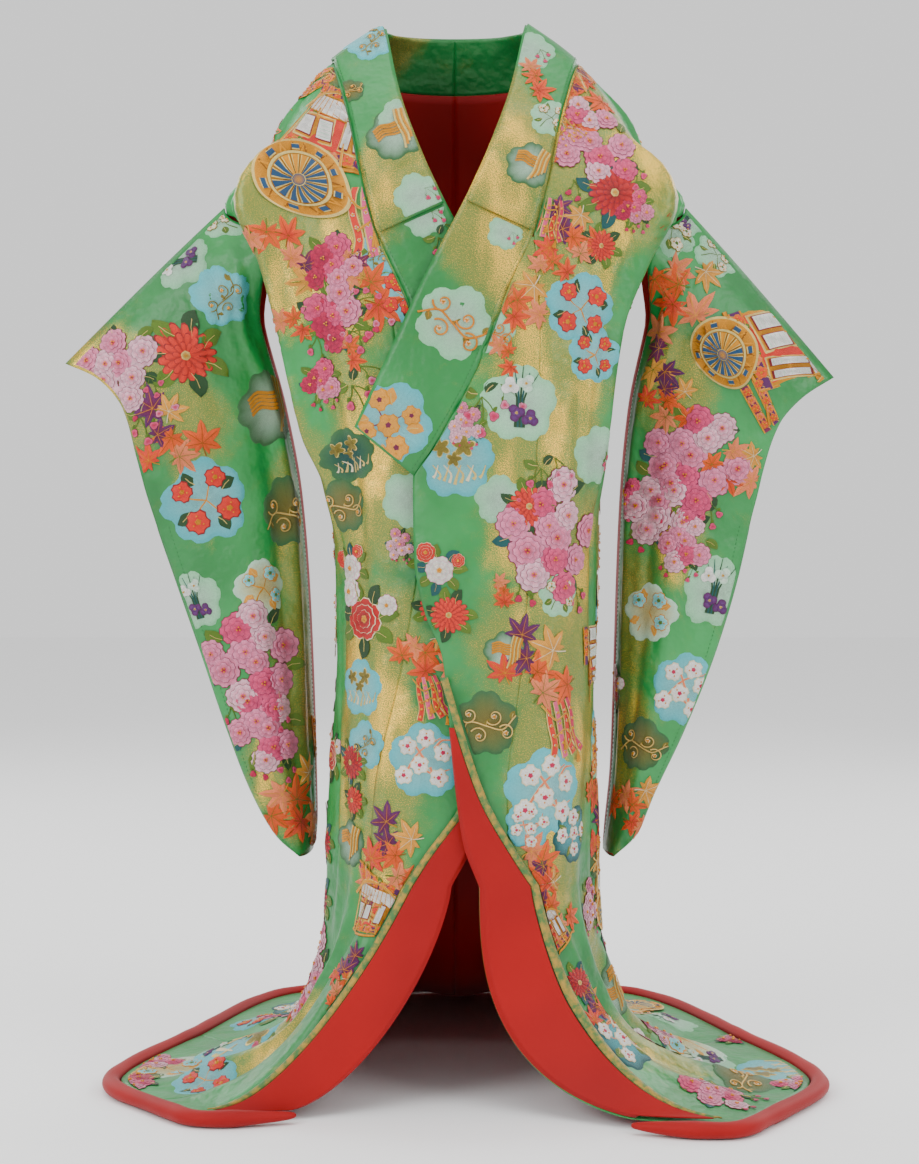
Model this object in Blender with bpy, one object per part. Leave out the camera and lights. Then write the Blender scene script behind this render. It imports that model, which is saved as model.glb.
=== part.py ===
"""Uchikake: a padded wedding over-kimono, worn open, with its train spread on the floor.

Metres, +Z up, the front faces -Y. The origin is at the neck, where the garment is held.
Heights in the tables are measured up from the floor.
"left" and "right" are the garment's own, so its left lies at +X.
"""

import math

import bpy
import numpy as np

# Driving sizes
WALL = 0.0024
HALF_SEAM = 0.0004
HOLD_HEIGHT = 1.372
SKIRT_TOP = 0.28
YOKE_TOP = 1.326
COLLAR_BACK_SEAM = 1.300
COLLAR_BACK_TOP = 1.370
LAP_LIFT = 0.0135
LAP_FROM_ANGLE = 102.0
LAP_OVER_ANGLE = 34.0
LAP_END_ROW = 1.35
LAP_FADE_ROWS = 0.35
TURNED_LIFT = {"left": 0.0082, "right": 0.0066}
FOLD_LIFT = 0.0031
FOLD_FROM = 0.86
OVER_COLLAR_LIFT = 0.0042
OVER_COLLAR_END = 1.090
PIPING_WIDTH = 0.011
PIPING_WALL = 0.0040
PIPING_GAP = 0.0014
ROLL_HALF_WIDTH = 0.0125
ROLL_HALF_HEIGHT = 0.0105
ROLL_CENTRE_HEIGHT = 0.0138
ROLL_GAP = 0.0004
ROLL_TURNED_GAP = 0.0050
BACK_COLUMNS = 10
FRONT_COLUMNS = 13
OVERLAP_COLUMNS = 6
COLLAR_COLUMNS = 5
SLEEVE_ARMHOLE_GAP = 0.0030
SQUARENESS = 0.14
ANGLE_STEP = 0.5
ROW_STEP = 0.004
SHARP_ANGLE = 50.0
ROLL_SIDES = 10

BROCADE = ("brocade", (0.055, 0.36, 0.12), 0.42)
BROCADE_SLEEVE = ("brocade_sleeve", (0.07, 0.40, 0.15), 0.42)
BROCADE_COLLAR = ("brocade_collar", (0.04, 0.28, 0.09), 0.42)
LINING_RED = ("lining_red", (0.80, 0.02, 0.03), 0.5)
GOLD_EDGE = ("gold_edge", (0.45, 0.40, 0.12), 0.4)

SIDES = {"right": -1, "left": 1}


class Table:
    """A short table with named columns, read smoothly between its rows."""

    def __init__(self, names, *rows):
        rows = sorted(rows)
        self.keys = np.array([row[0] for row in rows], float)
        self.columns = {}
        for index, name in enumerate(names):
            values = np.array([row[index] for row in rows], float)
            self.columns[name] = (values, self.slopes(values))

    def slopes(self, values):
        runs = np.diff(self.keys)
        rises = np.diff(values) / runs
        slopes = np.zeros(len(values))
        slopes[0] = rises[0]
        slopes[-1] = rises[-1]
        for i in range(1, len(values) - 1):
            before, after = rises[i - 1], rises[i]
            if before * after > 0:
                near = 2 * runs[i] + runs[i - 1]
                far = runs[i] + 2 * runs[i - 1]
                slopes[i] = (near + far) / (near / before + far / after)
        return slopes

    def at(self, name, key):
        values, slopes = self.columns[name]
        key = min(max(key, self.keys[0]), self.keys[-1])
        i = int(min(max(np.searchsorted(self.keys, key) - 1, 0), len(values) - 2))
        run = self.keys[i + 1] - self.keys[i]
        t = (key - self.keys[i]) / run
        start = (1 + 2 * t) * (1 - t) ** 2 * values[i] + t * (1 - t) ** 2 * run * slopes[i]
        end = t * t * (3 - 2 * t) * values[i + 1] + t * t * (t - 1) * run * slopes[i + 1]
        return start + end


# Level sections of the worn garment: half widths to each side, depths to front and back
RINGS = Table(
    ("height", "right", "left", "front", "back"),
    (1.376, 0.086, 0.086, 0.012, 0.080),
    (1.326, 0.159, 0.156, 0.042, 0.104),
    (1.258, 0.212, 0.216, 0.084, 0.128),
    (1.199, 0.250, 0.252, 0.112, 0.142),
    (1.140, 0.300, 0.300, 0.130, 0.148),
    (1.070, 0.260, 0.260, 0.142, 0.150),
    (0.980, 0.226, 0.216, 0.150, 0.148),
    (0.850, 0.186, 0.192, 0.152, 0.142),
    (0.780, 0.160, 0.186, 0.150, 0.142),
    (0.600, 0.152, 0.182, 0.147, 0.148),
    (0.440, 0.151, 0.176, 0.146, 0.158),
    (0.280, 0.153, 0.172, 0.148, 0.172),
)

# Where the front panels' side edges lie, in degrees past the side: the armhole and the slit
SIDE_SLIT = Table(
    ("height", "open"),
    (0.280, 0.0),
    (0.930, 0.0),
    (1.000, 11.0),
    (1.070, 20.0),
    (1.140, 0.0),
    (1.400, 0.0),
)

# The collar band, keyed by the height of its seam: where its seam and its inner edge run
COLLAR = Table(
    ("seam_height", "seam_out", "inner_height", "inner_out"),
    (1.326, 0.156, 1.370, 0.090),
    (1.235, 0.130, 1.274, 0.070),
    (1.161, 0.115, 1.192, 0.041),
    (1.092, 0.096, 1.130, 0.013),
    (1.012, 0.060, 1.047, -0.030),
    (0.908, 0.019, 0.953, -0.073),
    (0.833, -0.022, 0.885, -0.103),
    (0.790, -0.050, 0.850, -0.118),
)
COLLAR_END = 0.790

# Front edges below the collar, then the line where they turn back, as distance out
EDGES = Table(
    ("height", "left", "right"),
    (0.280, 0.029, 0.004),
    (0.333, 0.010, -0.022),
    (0.408, 0.000, -0.034),
    (0.474, -0.006, -0.036),
    (0.564, -0.015, -0.040),
    (0.620, -0.036, -0.044),
    (0.683, -0.048, -0.048),
    (0.790, -0.050, -0.050),
)

# The seam between front panel and overlap panel
OVERLAP_SEAM = Table(
    ("height", "left", "right"),
    (0.280, 0.066, 0.108),
    (0.383, 0.062, 0.102),
    (0.555, 0.080, 0.066),
    (0.740, 0.093, 0.040),
    (0.960, 0.101, 0.074),
    (1.092, 0.096, 0.096),
)
OVERLAP_TOP = 1.083

# The free edges of the turned-back parts, from where the turn begins down to the skirt
TURNED_EDGE = Table(
    ("height", "left", "right"),
    (0.280, 0.095, 0.060),
    (0.310, 0.078, 0.042),
    (0.389, 0.037, -0.012),
    (0.445, 0.018, -0.034),
    (0.508, 0.000, -0.036),
    (0.564, -0.015, -0.040),
)
TURN_TOP = {"left": 0.540, "right": 0.420}
NARROWEST_LINING = 0.005

# The hem on the floor, keyed by the angle round from the centre back
HEM = {
    "left": Table(
        ("angle", "out", "y", "spread", "fall"),
        (0.0, 0.000, 0.560, 1.7, 2.2),
        (45.0, 0.255, 0.475, 1.8, 2.3),
        (90.0, 0.385, 0.190, 2.1, 2.4),
        (120.0, 0.453, -0.050, 2.0, 2.4),
        (138.0, 0.388, -0.190, 1.5, 2.2),
        (150.0, 0.318, -0.270, 1.25, 2.0),
        (172.0, 0.215, -0.245, 2.4, 1.6),
        (190.0, 0.195, -0.240, 2.4, 1.6),
    ),
    "right": Table(
        ("angle", "out", "y", "spread", "fall"),
        (0.0, 0.000, 0.560, 1.7, 2.2),
        (45.0, 0.240, 0.475, 1.8, 2.3),
        (90.0, 0.352, 0.200, 2.1, 2.4),
        (120.0, 0.427, -0.045, 2.0, 2.4),
        (140.0, 0.366, -0.155, 1.3, 2.2),
        (155.0, 0.300, -0.215, 0.92, 1.8),
        (178.0, 0.200, -0.196, 1.35, 1.5),
        (195.0, 0.180, -0.190, 1.35, 1.5),
    ),
}
HEM_HEIGHT = 0.0155
HEM_STEADY_ROW = 1.93
CORNER_ANGLE = {"left": 150.0, "right": 155.0}

# The largest folds: ridges that run down the body, as angle, reach down, height and width
FOLD_NAMES = ("angle_top", "angle_end", "top", "end", "rise", "width")
FOLDS = {
    "left": (
        (129, 119, 0.05, 0.60, 0.020, 9),
        (104, 100, 0.08, 0.36, -0.010, 7),
        (150, 152, 0.15, 0.70, 0.006, 8),
        (60, 52, 0.20, 1.95, 0.012, 11),
        (24, 22, 0.30, 1.98, 0.014, 10),
        (98, 92, 0.75, 1.90, 0.012, 8),
        (126, 128, 1.00, 1.92, 0.012, 8),
        (36, 38, 1.10, 1.98, 0.012, 8),
        (74, 72, 1.15, 1.98, 0.014, 8),
    ),
    "right": (
        (130, 116, 0.04, 0.62, 0.028, 9),
        (104, 100, 0.08, 0.40, -0.014, 7),
        (151, 152, 0.12, 0.62, 0.007, 8),
        (56, 58, 0.18, 1.95, 0.013, 11),
        (20, 26, 0.34, 1.98, 0.012, 10),
        (94, 98, 0.70, 1.92, 0.013, 8),
        (124, 122, 0.98, 1.90, 0.012, 8),
        (40, 42, 1.08, 1.98, 0.013, 8),
        (76, 74, 1.12, 1.98, 0.012, 8),
    ),
}

# Rows of each sleeve from its top fold to its foot: inner edge, outer edge, depth, turn
SLEEVE = {
    "right": Table(
        ("down", "in_out", "in_height", "out_out", "out_height", "depth", "turn"),
        (0.00, 0.306, 1.136, 0.506, 0.934, 0.000, 0.000),
        (0.05, 0.284, 1.108, 0.462, 0.914, 0.032, 0.000),
        (0.10, 0.266, 1.070, 0.430, 0.876, 0.040, 0.004),
        (0.20, 0.252, 0.985, 0.412, 0.812, 0.038, 0.030),
        (0.32, 0.226, 0.880, 0.392, 0.738, 0.032, 0.065),
        (0.45, 0.206, 0.765, 0.362, 0.650, 0.028, 0.085),
        (0.60, 0.196, 0.640, 0.330, 0.558, 0.026, 0.095),
        (0.74, 0.190, 0.510, 0.296, 0.458, 0.024, 0.095),
        (0.86, 0.186, 0.400, 0.262, 0.372, 0.020, 0.085),
        (0.94, 0.184, 0.330, 0.230, 0.318, 0.014, 0.075),
        (1.00, 0.188, 0.296, 0.202, 0.294, 0.000, 0.068),
    ),
    "left": Table(
        ("down", "in_out", "in_height", "out_out", "out_height", "depth", "turn"),
        (0.00, 0.306, 1.136, 0.492, 0.916, 0.000, 0.000),
        (0.05, 0.284, 1.108, 0.450, 0.890, 0.032, 0.000),
        (0.10, 0.266, 1.070, 0.420, 0.856, 0.040, 0.004),
        (0.20, 0.252, 0.985, 0.400, 0.800, 0.038, 0.030),
        (0.32, 0.232, 0.880, 0.386, 0.738, 0.032, 0.060),
        (0.45, 0.222, 0.765, 0.366, 0.650, 0.028, 0.080),
        (0.60, 0.217, 0.640, 0.338, 0.558, 0.026, 0.090),
        (0.74, 0.213, 0.510, 0.298, 0.458, 0.024, 0.090),
        (0.86, 0.208, 0.400, 0.260, 0.378, 0.020, 0.080),
        (0.94, 0.200, 0.330, 0.234, 0.320, 0.014, 0.070),
        (1.00, 0.196, 0.296, 0.206, 0.294, 0.000, 0.064),
    ),
}
ARMHOLE_DOWN = 0.10
SLEEVE_TOP = 1.136
ARMHOLE_ROWS = (0.0, 0.025, 0.05, 0.075, 0.10)
CUFF_DOWN = 0.34
CUFF_DEPTH = 0.014
TURN_BEND = 0.7
FULL_TURN = 0.06
SLEEVE_DOWN_ROWS = (
    *ARMHOLE_ROWS, 0.15, 0.20, 0.27, CUFF_DOWN,
    0.42, 0.50, 0.58, 0.66, 0.74, 0.81, 0.87, 0.92, 0.96, 1.0,
)
SLEEVE_COLUMNS = (0.0, 0.10, 0.20, 0.31, 0.43, 0.55, 0.67, 0.79, 0.90, 1.0)


def smooth(t):
    t = min(max(t, 0.0), 1.0)
    return t * t * (3 - 2 * t)


def height_of(row):
    """Rows run from 0 at the collar seam to 1 where the skirt begins, and 2 at the hem."""
    return YOKE_TOP + (SKIRT_TOP - YOKE_TOP) * min(row, 1.0)


def row_of(height):
    return (YOKE_TOP - height) / (YOKE_TOP - SKIRT_TOP)


def ring(side, angle, height):
    """A point of the level section: 0 is the centre back, 90 the side, 180 the front."""
    sign = SIDES[side]
    turn = math.radians(angle)
    sine, cosine = math.sin(turn), math.cos(turn)
    across = sign * sine * (1 + SQUARENESS * cosine * cosine)
    along = cosine * (1 + SQUARENESS * sine * sine)
    width = RINGS.at("left" if across > 0 else "right", height)
    depth = RINGS.at("back" if along > 0 else "front", height)
    return np.array((across * width, along * depth, height))


def angle_at(side, out, height):
    """The front angle at which the section has this distance out from the middle."""
    sign = SIDES[side]
    low, high = 90.0, 270.0
    for _ in range(40):
        middle = (low + high) / 2
        if sign * ring(side, middle, height)[0] > out:
            low = middle
        else:
            high = middle
    return (low + high) / 2


def skirt(side, angle, fall):
    """The cloth below the tube, which falls and then spreads out on the floor."""
    sign = SIDES[side]
    start = ring(side, angle, SKIRT_TOP)
    hem = HEM[side]
    target = np.array((sign * hem.at("out", angle), hem.at("y", angle), HEM_HEIGHT))
    spread = fall ** hem.at("spread", angle)
    drop = 1 - (1 - fall) ** hem.at("fall", angle)
    point = start + (target - start) * spread
    point[2] = start[2] + (target[2] - start[2]) * drop
    return point


def bare_body(side, angle, row):
    if row <= 1:
        return ring(side, angle, height_of(row))
    return skirt(side, angle, row - 1)


def normal_of(surface, a, b, a_step, b_step, b_end):
    """The outward normal of a surface of two values, steady past its last rows."""
    b = min(b, b_end)
    low, high = b - b_step, b + b_step
    across = surface(a + a_step, b) - surface(a - a_step, b)
    down = surface(a, high) - surface(a, low)
    normal = np.cross(across, down)
    return normal / np.linalg.norm(normal)


def fold_rise(side, angle, row):
    total = 0.0
    for values in FOLDS[side]:
        fold = dict(zip(FOLD_NAMES, values))
        share = (row - fold["top"]) / (fold["end"] - fold["top"])
        if 0 < share < 1:
            centre = fold["angle_top"] + (fold["angle_end"] - fold["angle_top"]) * share
            fade = smooth(share / 0.2) * smooth((1 - share) / 0.2)
            away = (angle - centre) / fold["width"]
            total += fold["rise"] * fade * math.exp(-away * away)
    return total


def body(side, angle, row, lift=0.0):
    """The garment's outer form, with its folds, and moved out for what lies on top."""
    def bare(a, b):
        return bare_body(side, a, b)
    normal = normal_of(bare, angle, row, ANGLE_STEP, ROW_STEP, HEM_STEADY_ROW) * SIDES[side]
    if side == "left":
        lapped = smooth((angle - LAP_FROM_ANGLE) / LAP_OVER_ANGLE)
        lift += LAP_LIFT * lapped * smooth((LAP_END_ROW - row) / LAP_FADE_ROWS)
    return bare(angle, row) + normal * (fold_rise(side, angle, row) + lift)


def body_normal(side, angle, row, lift=0.0):
    def surface(a, b):
        return body(side, a, b, lift)
    return normal_of(surface, angle, row, ANGLE_STEP, ROW_STEP, HEM_STEADY_ROW) * SIDES[side]


def inset(side, angle, row, distance):
    """The angle moved by a distance along the cloth."""
    step = body(side, angle + ANGLE_STEP, row) - body(side, angle - ANGLE_STEP, row)
    return angle + 2 * ANGLE_STEP * distance / np.linalg.norm(step)


def side_angle(row):
    if row >= 1:
        return 90.0
    return 90.0 + SIDE_SLIT.at("open", height_of(row))


def edge_angle(side, row):
    """The front edge: the collar's seam, then the free edge, then the turned-back line."""
    height = height_of(row)
    if height > COLLAR_END:
        return angle_at(side, COLLAR.at("seam_out", height), height)
    return angle_at(side, EDGES.at(side, height), height)


def seam_angle(side, row):
    height = height_of(row)
    return angle_at(side, OVERLAP_SEAM.at(side, height), height)


def turned_angle(side, row):
    if row <= 1:
        height = height_of(row)
        return angle_at(side, TURNED_EDGE.at(side, height), height)
    start = angle_at(side, TURNED_EDGE.at(side, SKIRT_TOP), SKIRT_TOP)
    return start + (CORNER_ANGLE[side] - start) * smooth((row - 1) * 1.1)


def rows_between(first, last, upper=15, lower=11):
    """Rows down the body, evenly above the skirt and closer where it meets the floor."""
    armhole = [row_of(SLEEVE["left"].at("in_height", down)) for down in ARMHOLE_ROWS]
    below = armhole[-1] + 0.045
    rows = [0.0, 0.045, 0.09, 0.135] + armhole
    rows += [below + (1 - below) * i / upper for i in range(upper)]
    rows += [1 + (i / lower) ** 0.85 for i in range(lower + 1)]
    inside = [row for row in rows if first + 0.008 < row < last - 0.008]
    return [first] + inside + [last]


def add_object(name, vertices, faces, finish):
    """Store the mesh, with heights turned into distances from where it is held."""
    points = np.array(vertices) - np.array((0.0, 0.0, HOLD_HEIGHT))
    mesh = bpy.data.meshes.new(name)
    mesh.from_pydata([tuple(point) for point in points], [], faces)
    mesh.validate()
    thing = bpy.data.objects.new(name, mesh)
    bpy.context.scene.collection.objects.link(thing)
    mesh.materials.append(material(*finish))
    mesh.shade_smooth()
    mesh.set_sharp_from_angle(angle=math.radians(SHARP_ANGLE))
    return thing


def material(name, colour, roughness):
    made = bpy.data.materials.get(name)
    if made:
        return made
    made = bpy.data.materials.new(name)
    made.use_nodes = True
    shader = made.node_tree.nodes["Principled BSDF"]
    shader.inputs["Base Color"].default_value = (*colour, 1.0)
    shader.inputs["Roughness"].default_value = roughness
    shader.inputs["Metallic"].default_value = 0.0
    return made


def wall(name, points, normals, faces, finish, thickness=WALL):
    """Give a sheet its thickness and close it along its free edges."""
    points, normals = np.array(points), np.array(normals)
    outer = points + normals * thickness / 2
    inner = points - normals * thickness / 2
    count = len(points)
    edges = {}
    for face in faces:
        for start, end in zip(face, face[1:] + face[:1]):
            edges[(start, end)] = edges.get((start, end), 0) + 1
    solid = [tuple(face) for face in faces]
    solid += [tuple(count + i for i in reversed(face)) for face in faces]
    for start, end in edges:
        if (end, start) not in edges:
            solid.append((end, start, count + start, count + end))
    return add_object(name, np.vstack((outer, inner)), solid, finish)


def grid_faces(rows, columns, flip):
    faces = []
    for i in range(rows - 1):
        for j in range(columns - 1):
            a = i * columns + j
            face = [a, a + 1, a + columns + 1, a + columns]
            faces.append(face[::-1] if flip else face)
    return faces


def column_angles(span, row, columns):
    first, last = span(row)
    return [first + (last - first) * j / (columns - 1) for j in range(columns)]


def panel(name, side, rows, columns, span, finish, lift=None, thickness=WALL):
    """A piece of the body between two lines; span gives both angles for a row."""
    points, normals = [], []
    for row in rows:
        for j, angle in enumerate(column_angles(span, row, columns)):
            raise_by = lift(j / (columns - 1)) if lift else 0.0
            points.append(body(side, angle, row, raise_by))
            normals.append(body_normal(side, angle, row, raise_by))
    faces = grid_faces(len(rows), columns, SIDES[side] < 0)
    return wall(name, points, normals, faces, finish, thickness)


def back_span(side, row):
    low = inset(side, 0.0, row, HALF_SEAM)
    return low, inset(side, 180.0 - side_angle(row), row, -HALF_SEAM)


def front_span(side, row):
    inner = min(seam_angle(side, row), edge_angle(side, row))
    low = inset(side, side_angle(row), row, HALF_SEAM)
    return low, inset(side, inner, row, -HALF_SEAM)


def overlap_span(side, row):
    low = inset(side, seam_angle(side, row), row, HALF_SEAM)
    return low, inset(side, edge_angle(side, row), row, -HALF_SEAM)


def back_panel(side):
    """The back, whose top edge follows the collar's seam round the neck."""
    rows = rows_between(0.03, 2.0)
    points, normals = [], []
    for i, row in enumerate(rows):
        for angle in column_angles(lambda at: back_span(side, at), row, BACK_COLUMNS):
            level = row
            if i == 0:
                level = row_of(collar_seam_back(angle) - 3 * HALF_SEAM)
            points.append(body(side, angle, level))
            normals.append(body_normal(side, angle, level))
    faces = grid_faces(len(rows), BACK_COLUMNS, SIDES[side] < 0)
    return wall(f"back_{side}", points, normals, faces, BROCADE)


def collar_seam_back(angle):
    """The collar's seam dips from the shoulder to the centre back."""
    return COLLAR_BACK_SEAM + (YOKE_TOP - COLLAR_BACK_SEAM) * smooth(angle / 90.0)


def front_panel(side):
    def span(row):
        return front_span(side, row)

    rows = rows_between(0.008, 2.0)
    return panel(f"front_{side}", side, rows, FRONT_COLUMNS, span, BROCADE)


def overlap_panel(side):
    def span(row):
        return overlap_span(side, row)

    rows = rows_between(row_of(OVERLAP_TOP), 2.0)
    return panel(f"overlap_{side}", side, rows, OVERLAP_COLUMNS, span, BROCADE)


def turned_lining(side):
    """The front edge turned back, so that the red lining faces out."""
    def span(row):
        free = inset(side, turned_angle(side, row), row, PIPING_WIDTH + PIPING_GAP)
        return free, edge_angle(side, row)

    def lift(share):
        at_fold = smooth((share - FOLD_FROM) / (1 - FOLD_FROM))
        return TURNED_LIFT[side] + (FOLD_LIFT - TURNED_LIFT[side]) * at_fold

    rows = []
    for row in turned_rows(side):
        free, fold = span(row)
        if inset(side, free, row, NARROWEST_LINING) < fold:
            rows.append(row)
    return panel(f"lining_{side}", side, rows, 8, span, LINING_RED, lift)


def turned_rows(side):
    return rows_between(row_of(TURN_TOP[side]), 2.0)


def turned_piping(side):
    """The narrow brocade edge that frames the turned-back lining."""
    def span(row):
        free = turned_angle(side, row)
        return free, inset(side, free, row, PIPING_WIDTH)

    def lift(share):
        return TURNED_LIFT[side] + PIPING_WALL / 4

    rows = turned_rows(side)
    return panel(f"piping_{side}", side, rows, 3, span, GOLD_EDGE, lift, PIPING_WALL)


def collar_point(side, along, across, lift=0.0):
    """Along -1 is the centre back, 0 the shoulder, 1 the front end; across 0 is the seam."""
    if along < 0:
        angle = 90.0 * (1 + along)
        seam, top = collar_seam_back(angle), COLLAR_BACK_TOP
        return body(side, angle, row_of(seam + (top - seam) * across), lift)
    seam_height = YOKE_TOP + (COLLAR_END - YOKE_TOP) * along
    inner_height = COLLAR.at("inner_height", seam_height)
    seam_out = COLLAR.at("seam_out", seam_height)
    inner_out = COLLAR.at("inner_out", seam_height)
    height = seam_height + (inner_height - seam_height) * across
    out = seam_out + (inner_out - seam_out) * across
    return body(side, angle_at(side, out, height), row_of(height), lift)


def collar_stations(side):
    """Places along the collar that meet the columns and rows of the panels it is sewn to."""
    def span(row):
        return back_span(side, row)

    across_back = column_angles(span, row_of(YOKE_TOP), BACK_COLUMNS)
    stations = [angle / 90.0 - 1 for angle in across_back[:-1]] + [0.0]
    for row in rows_between(0.008, row_of(COLLAR_END)):
        stations.append((YOKE_TOP - height_of(row)) / (YOKE_TOP - COLLAR_END))
    return stations


def collar_piece(name, side, stations, margin, lift):
    """A length of collar band on one side."""
    points, normals = [], []

    def surface(across, along):
        return collar_point(side, along, across, lift)

    for along in stations:
        for j in range(COLLAR_COLUMNS):
            across = margin + (1 - 2 * margin) * j / (COLLAR_COLUMNS - 1)
            points.append(surface(across, along))
            normal = normal_of(surface, across, along, 0.01, 0.004, 0.995)
            normals.append(normal * SIDES[side])
    faces = grid_faces(len(stations), COLLAR_COLUMNS, SIDES[side] < 0)
    return wall(name, points, normals, faces, BROCADE_COLLAR)


def collar_half(side):
    return collar_piece(f"collar_{side}", side, collar_stations(side), 0.008, 0.0)


def over_collar_half(side):
    end = (YOKE_TOP - OVER_COLLAR_END) / (YOKE_TOP - COLLAR_END)
    stations = [along for along in collar_stations(side) if along < end]
    return collar_piece(f"over_collar_{side}", side, stations, 0.02, OVER_COLLAR_LIFT)


def armhole_point(side, face, height):
    """A point of the sleeve's sewn edge, a little clear of the body's."""
    row = row_of(height)
    apart = smooth((SLEEVE_TOP - height) / 0.02)
    angle = 90.0 + face * SIDE_SLIT.at("open", height)
    angle = inset(side, angle, row, -face * SLEEVE_ARMHOLE_GAP * apart)
    point = body(side, angle, row)
    point[0] += SIDES[side] * SLEEVE_ARMHOLE_GAP * (1 - apart)
    return point


def sleeve_point(side, face, across, down):
    """Across 0 is the open inner edge and 1 the cuff side; face 1 is the front wall."""
    rows, sign = SLEEVE[side], SIDES[side]
    bend = 1.0 + TURN_BEND * smooth(rows.at("turn", down) / FULL_TURN)
    share = across ** bend
    out = rows.at("in_out", down) + (rows.at("out_out", down) - rows.at("in_out", down)) * share
    height = rows.at("in_height", down)
    height += (rows.at("out_height", down) - height) * share
    cuff = CUFF_DEPTH * smooth((CUFF_DOWN - down) / 0.08) * smooth(down / 0.05)
    belly = math.sqrt(max(0.0, 1 - across ** 2.4))
    depth = rows.at("depth", down) * (0.25 + 0.75 * belly) * belly + cuff * across ** 3
    turn = rows.at("turn", down) * (1 - across) ** 2.2
    point = np.array((sign * out, turn - face * depth, height))
    if down <= 2 * ARMHOLE_DOWN:
        hold = smooth((2 * ARMHOLE_DOWN - down) / ARMHOLE_DOWN)
        sewn = min(down, ARMHOLE_DOWN)
        start_height = rows.at("in_height", sewn)
        armhole = armhole_point(side, face, start_height)
        bare = np.array((sign * rows.at("in_out", sewn), rows.at("turn", sewn)
                         - face * rows.at("depth", sewn), start_height))
        point = point + (armhole - bare) * hold * (1 - across) ** 3
    return point


def sleeve(side):
    """One length of cloth folded along the top, sewn round the foot and below the cuff."""
    points, index = [], {}
    last_row, last_column = len(SLEEVE_DOWN_ROWS) - 1, len(SLEEVE_COLUMNS) - 1
    for face in (1, -1):
        for i, down in enumerate(SLEEVE_DOWN_ROWS):
            for j, across in enumerate(SLEEVE_COLUMNS):
                top_or_foot = i in (0, last_row)
                sewn = j == last_column and down > CUFF_DOWN
                if face < 0 and (top_or_foot or sewn):
                    index[(face, i, j)] = index[(1, i, j)]
                    continue
                index[(face, i, j)] = len(points)
                points.append(sleeve_point(side, face, across, down))
    faces = []
    for face in (1, -1):
        for i in range(last_row):
            for j in range(last_column):
                quad = [index[(face, i, j)], index[(face, i, j + 1)],
                        index[(face, i + 1, j + 1)], index[(face, i + 1, j)]]
                faces.append(quad if face * SIDES[side] < 0 else quad[::-1])
    normals = sheet_normals(points, faces)
    return wall(f"sleeve_{side}", points, normals, faces, BROCADE_SLEEVE)


def sheet_normals(points, faces):
    points = np.array(points)
    normals = np.zeros_like(points)
    for face in faces:
        a, b, c, d = (points[i] for i in face)
        normal = np.cross(c - a, d - b)
        for i in face:
            normals[i] += normal
    lengths = np.linalg.norm(normals, axis=1)
    return normals / lengths[:, None]


def hem_roll(side):
    """The padded red roll that weights the hem, on the floor just past the panels."""
    sign = SIDES[side]
    angles = column_angles(lambda row: back_span(side, row), 2.0, BACK_COLUMNS)
    angles += column_angles(lambda row: front_span(side, row), 2.0, FRONT_COLUMNS)[1:]
    angles += column_angles(lambda row: overlap_span(side, row), 2.0, OVERLAP_COLUMNS)[1:]
    count = len(angles)
    centres, outs = [], []
    for angle in angles:
        turned = smooth((angle - CORNER_ANGLE[side] + 8) / 6)
        edge = body(side, angle, 2.0, TURNED_LIFT[side] * turned)
        step = body(side, angle + ANGLE_STEP, 2.0) - body(side, angle - ANGLE_STEP, 2.0)
        out = np.array((step[1], -step[0], 0.0)) * -sign
        out = out / np.linalg.norm(out)
        centre = edge + out * (ROLL_HALF_WIDTH + ROLL_GAP + ROLL_TURNED_GAP * turned)
        centre[2] = ROLL_CENTRE_HEIGHT
        centres.append(centre)
        outs.append(out)
    points = []
    for centre, out in zip(centres, outs):
        for k in range(ROLL_SIDES):
            turn = 2 * math.pi * k / ROLL_SIDES
            up = np.array((0.0, 0.0, ROLL_HALF_HEIGHT * math.sin(turn)))
            points.append(centre + out * ROLL_HALF_WIDTH * math.cos(turn) + up)
    faces = []
    for i in range(count - 1):
        for k in range(ROLL_SIDES):
            a = i * ROLL_SIDES + k
            b = i * ROLL_SIDES + (k + 1) % ROLL_SIDES
            quad = (a, b, b + ROLL_SIDES, a + ROLL_SIDES)
            faces.append(quad if sign > 0 else quad[::-1])
    start = tuple(range(ROLL_SIDES))
    end = tuple((count - 1) * ROLL_SIDES + k for k in range(ROLL_SIDES))
    faces.append(start[::-1] if sign > 0 else start)
    faces.append(end if sign > 0 else end[::-1])
    return add_object(f"hem_roll_{side}", points, faces, LINING_RED)


def clear_scene():
    for thing in list(bpy.data.objects):
        bpy.data.objects.remove(thing, do_unlink=True)


def main():
    clear_scene()
    for side in SIDES:
        back_panel(side)
        front_panel(side)
        overlap_panel(side)
        turned_lining(side)
        turned_piping(side)
        collar_half(side)
        over_collar_half(side)
        sleeve(side)
        hem_roll(side)


main()
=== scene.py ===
"""A wedding over-kimono in green brocade: cloth, embroidery, red lining and padded hem.

Run as a script: it dresses the solid model, which is loaded at the top, and sets the stage.
Metres, +Z up, the front faces -Y; heights in the tables are measured up from the floor.
"""

import math

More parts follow.
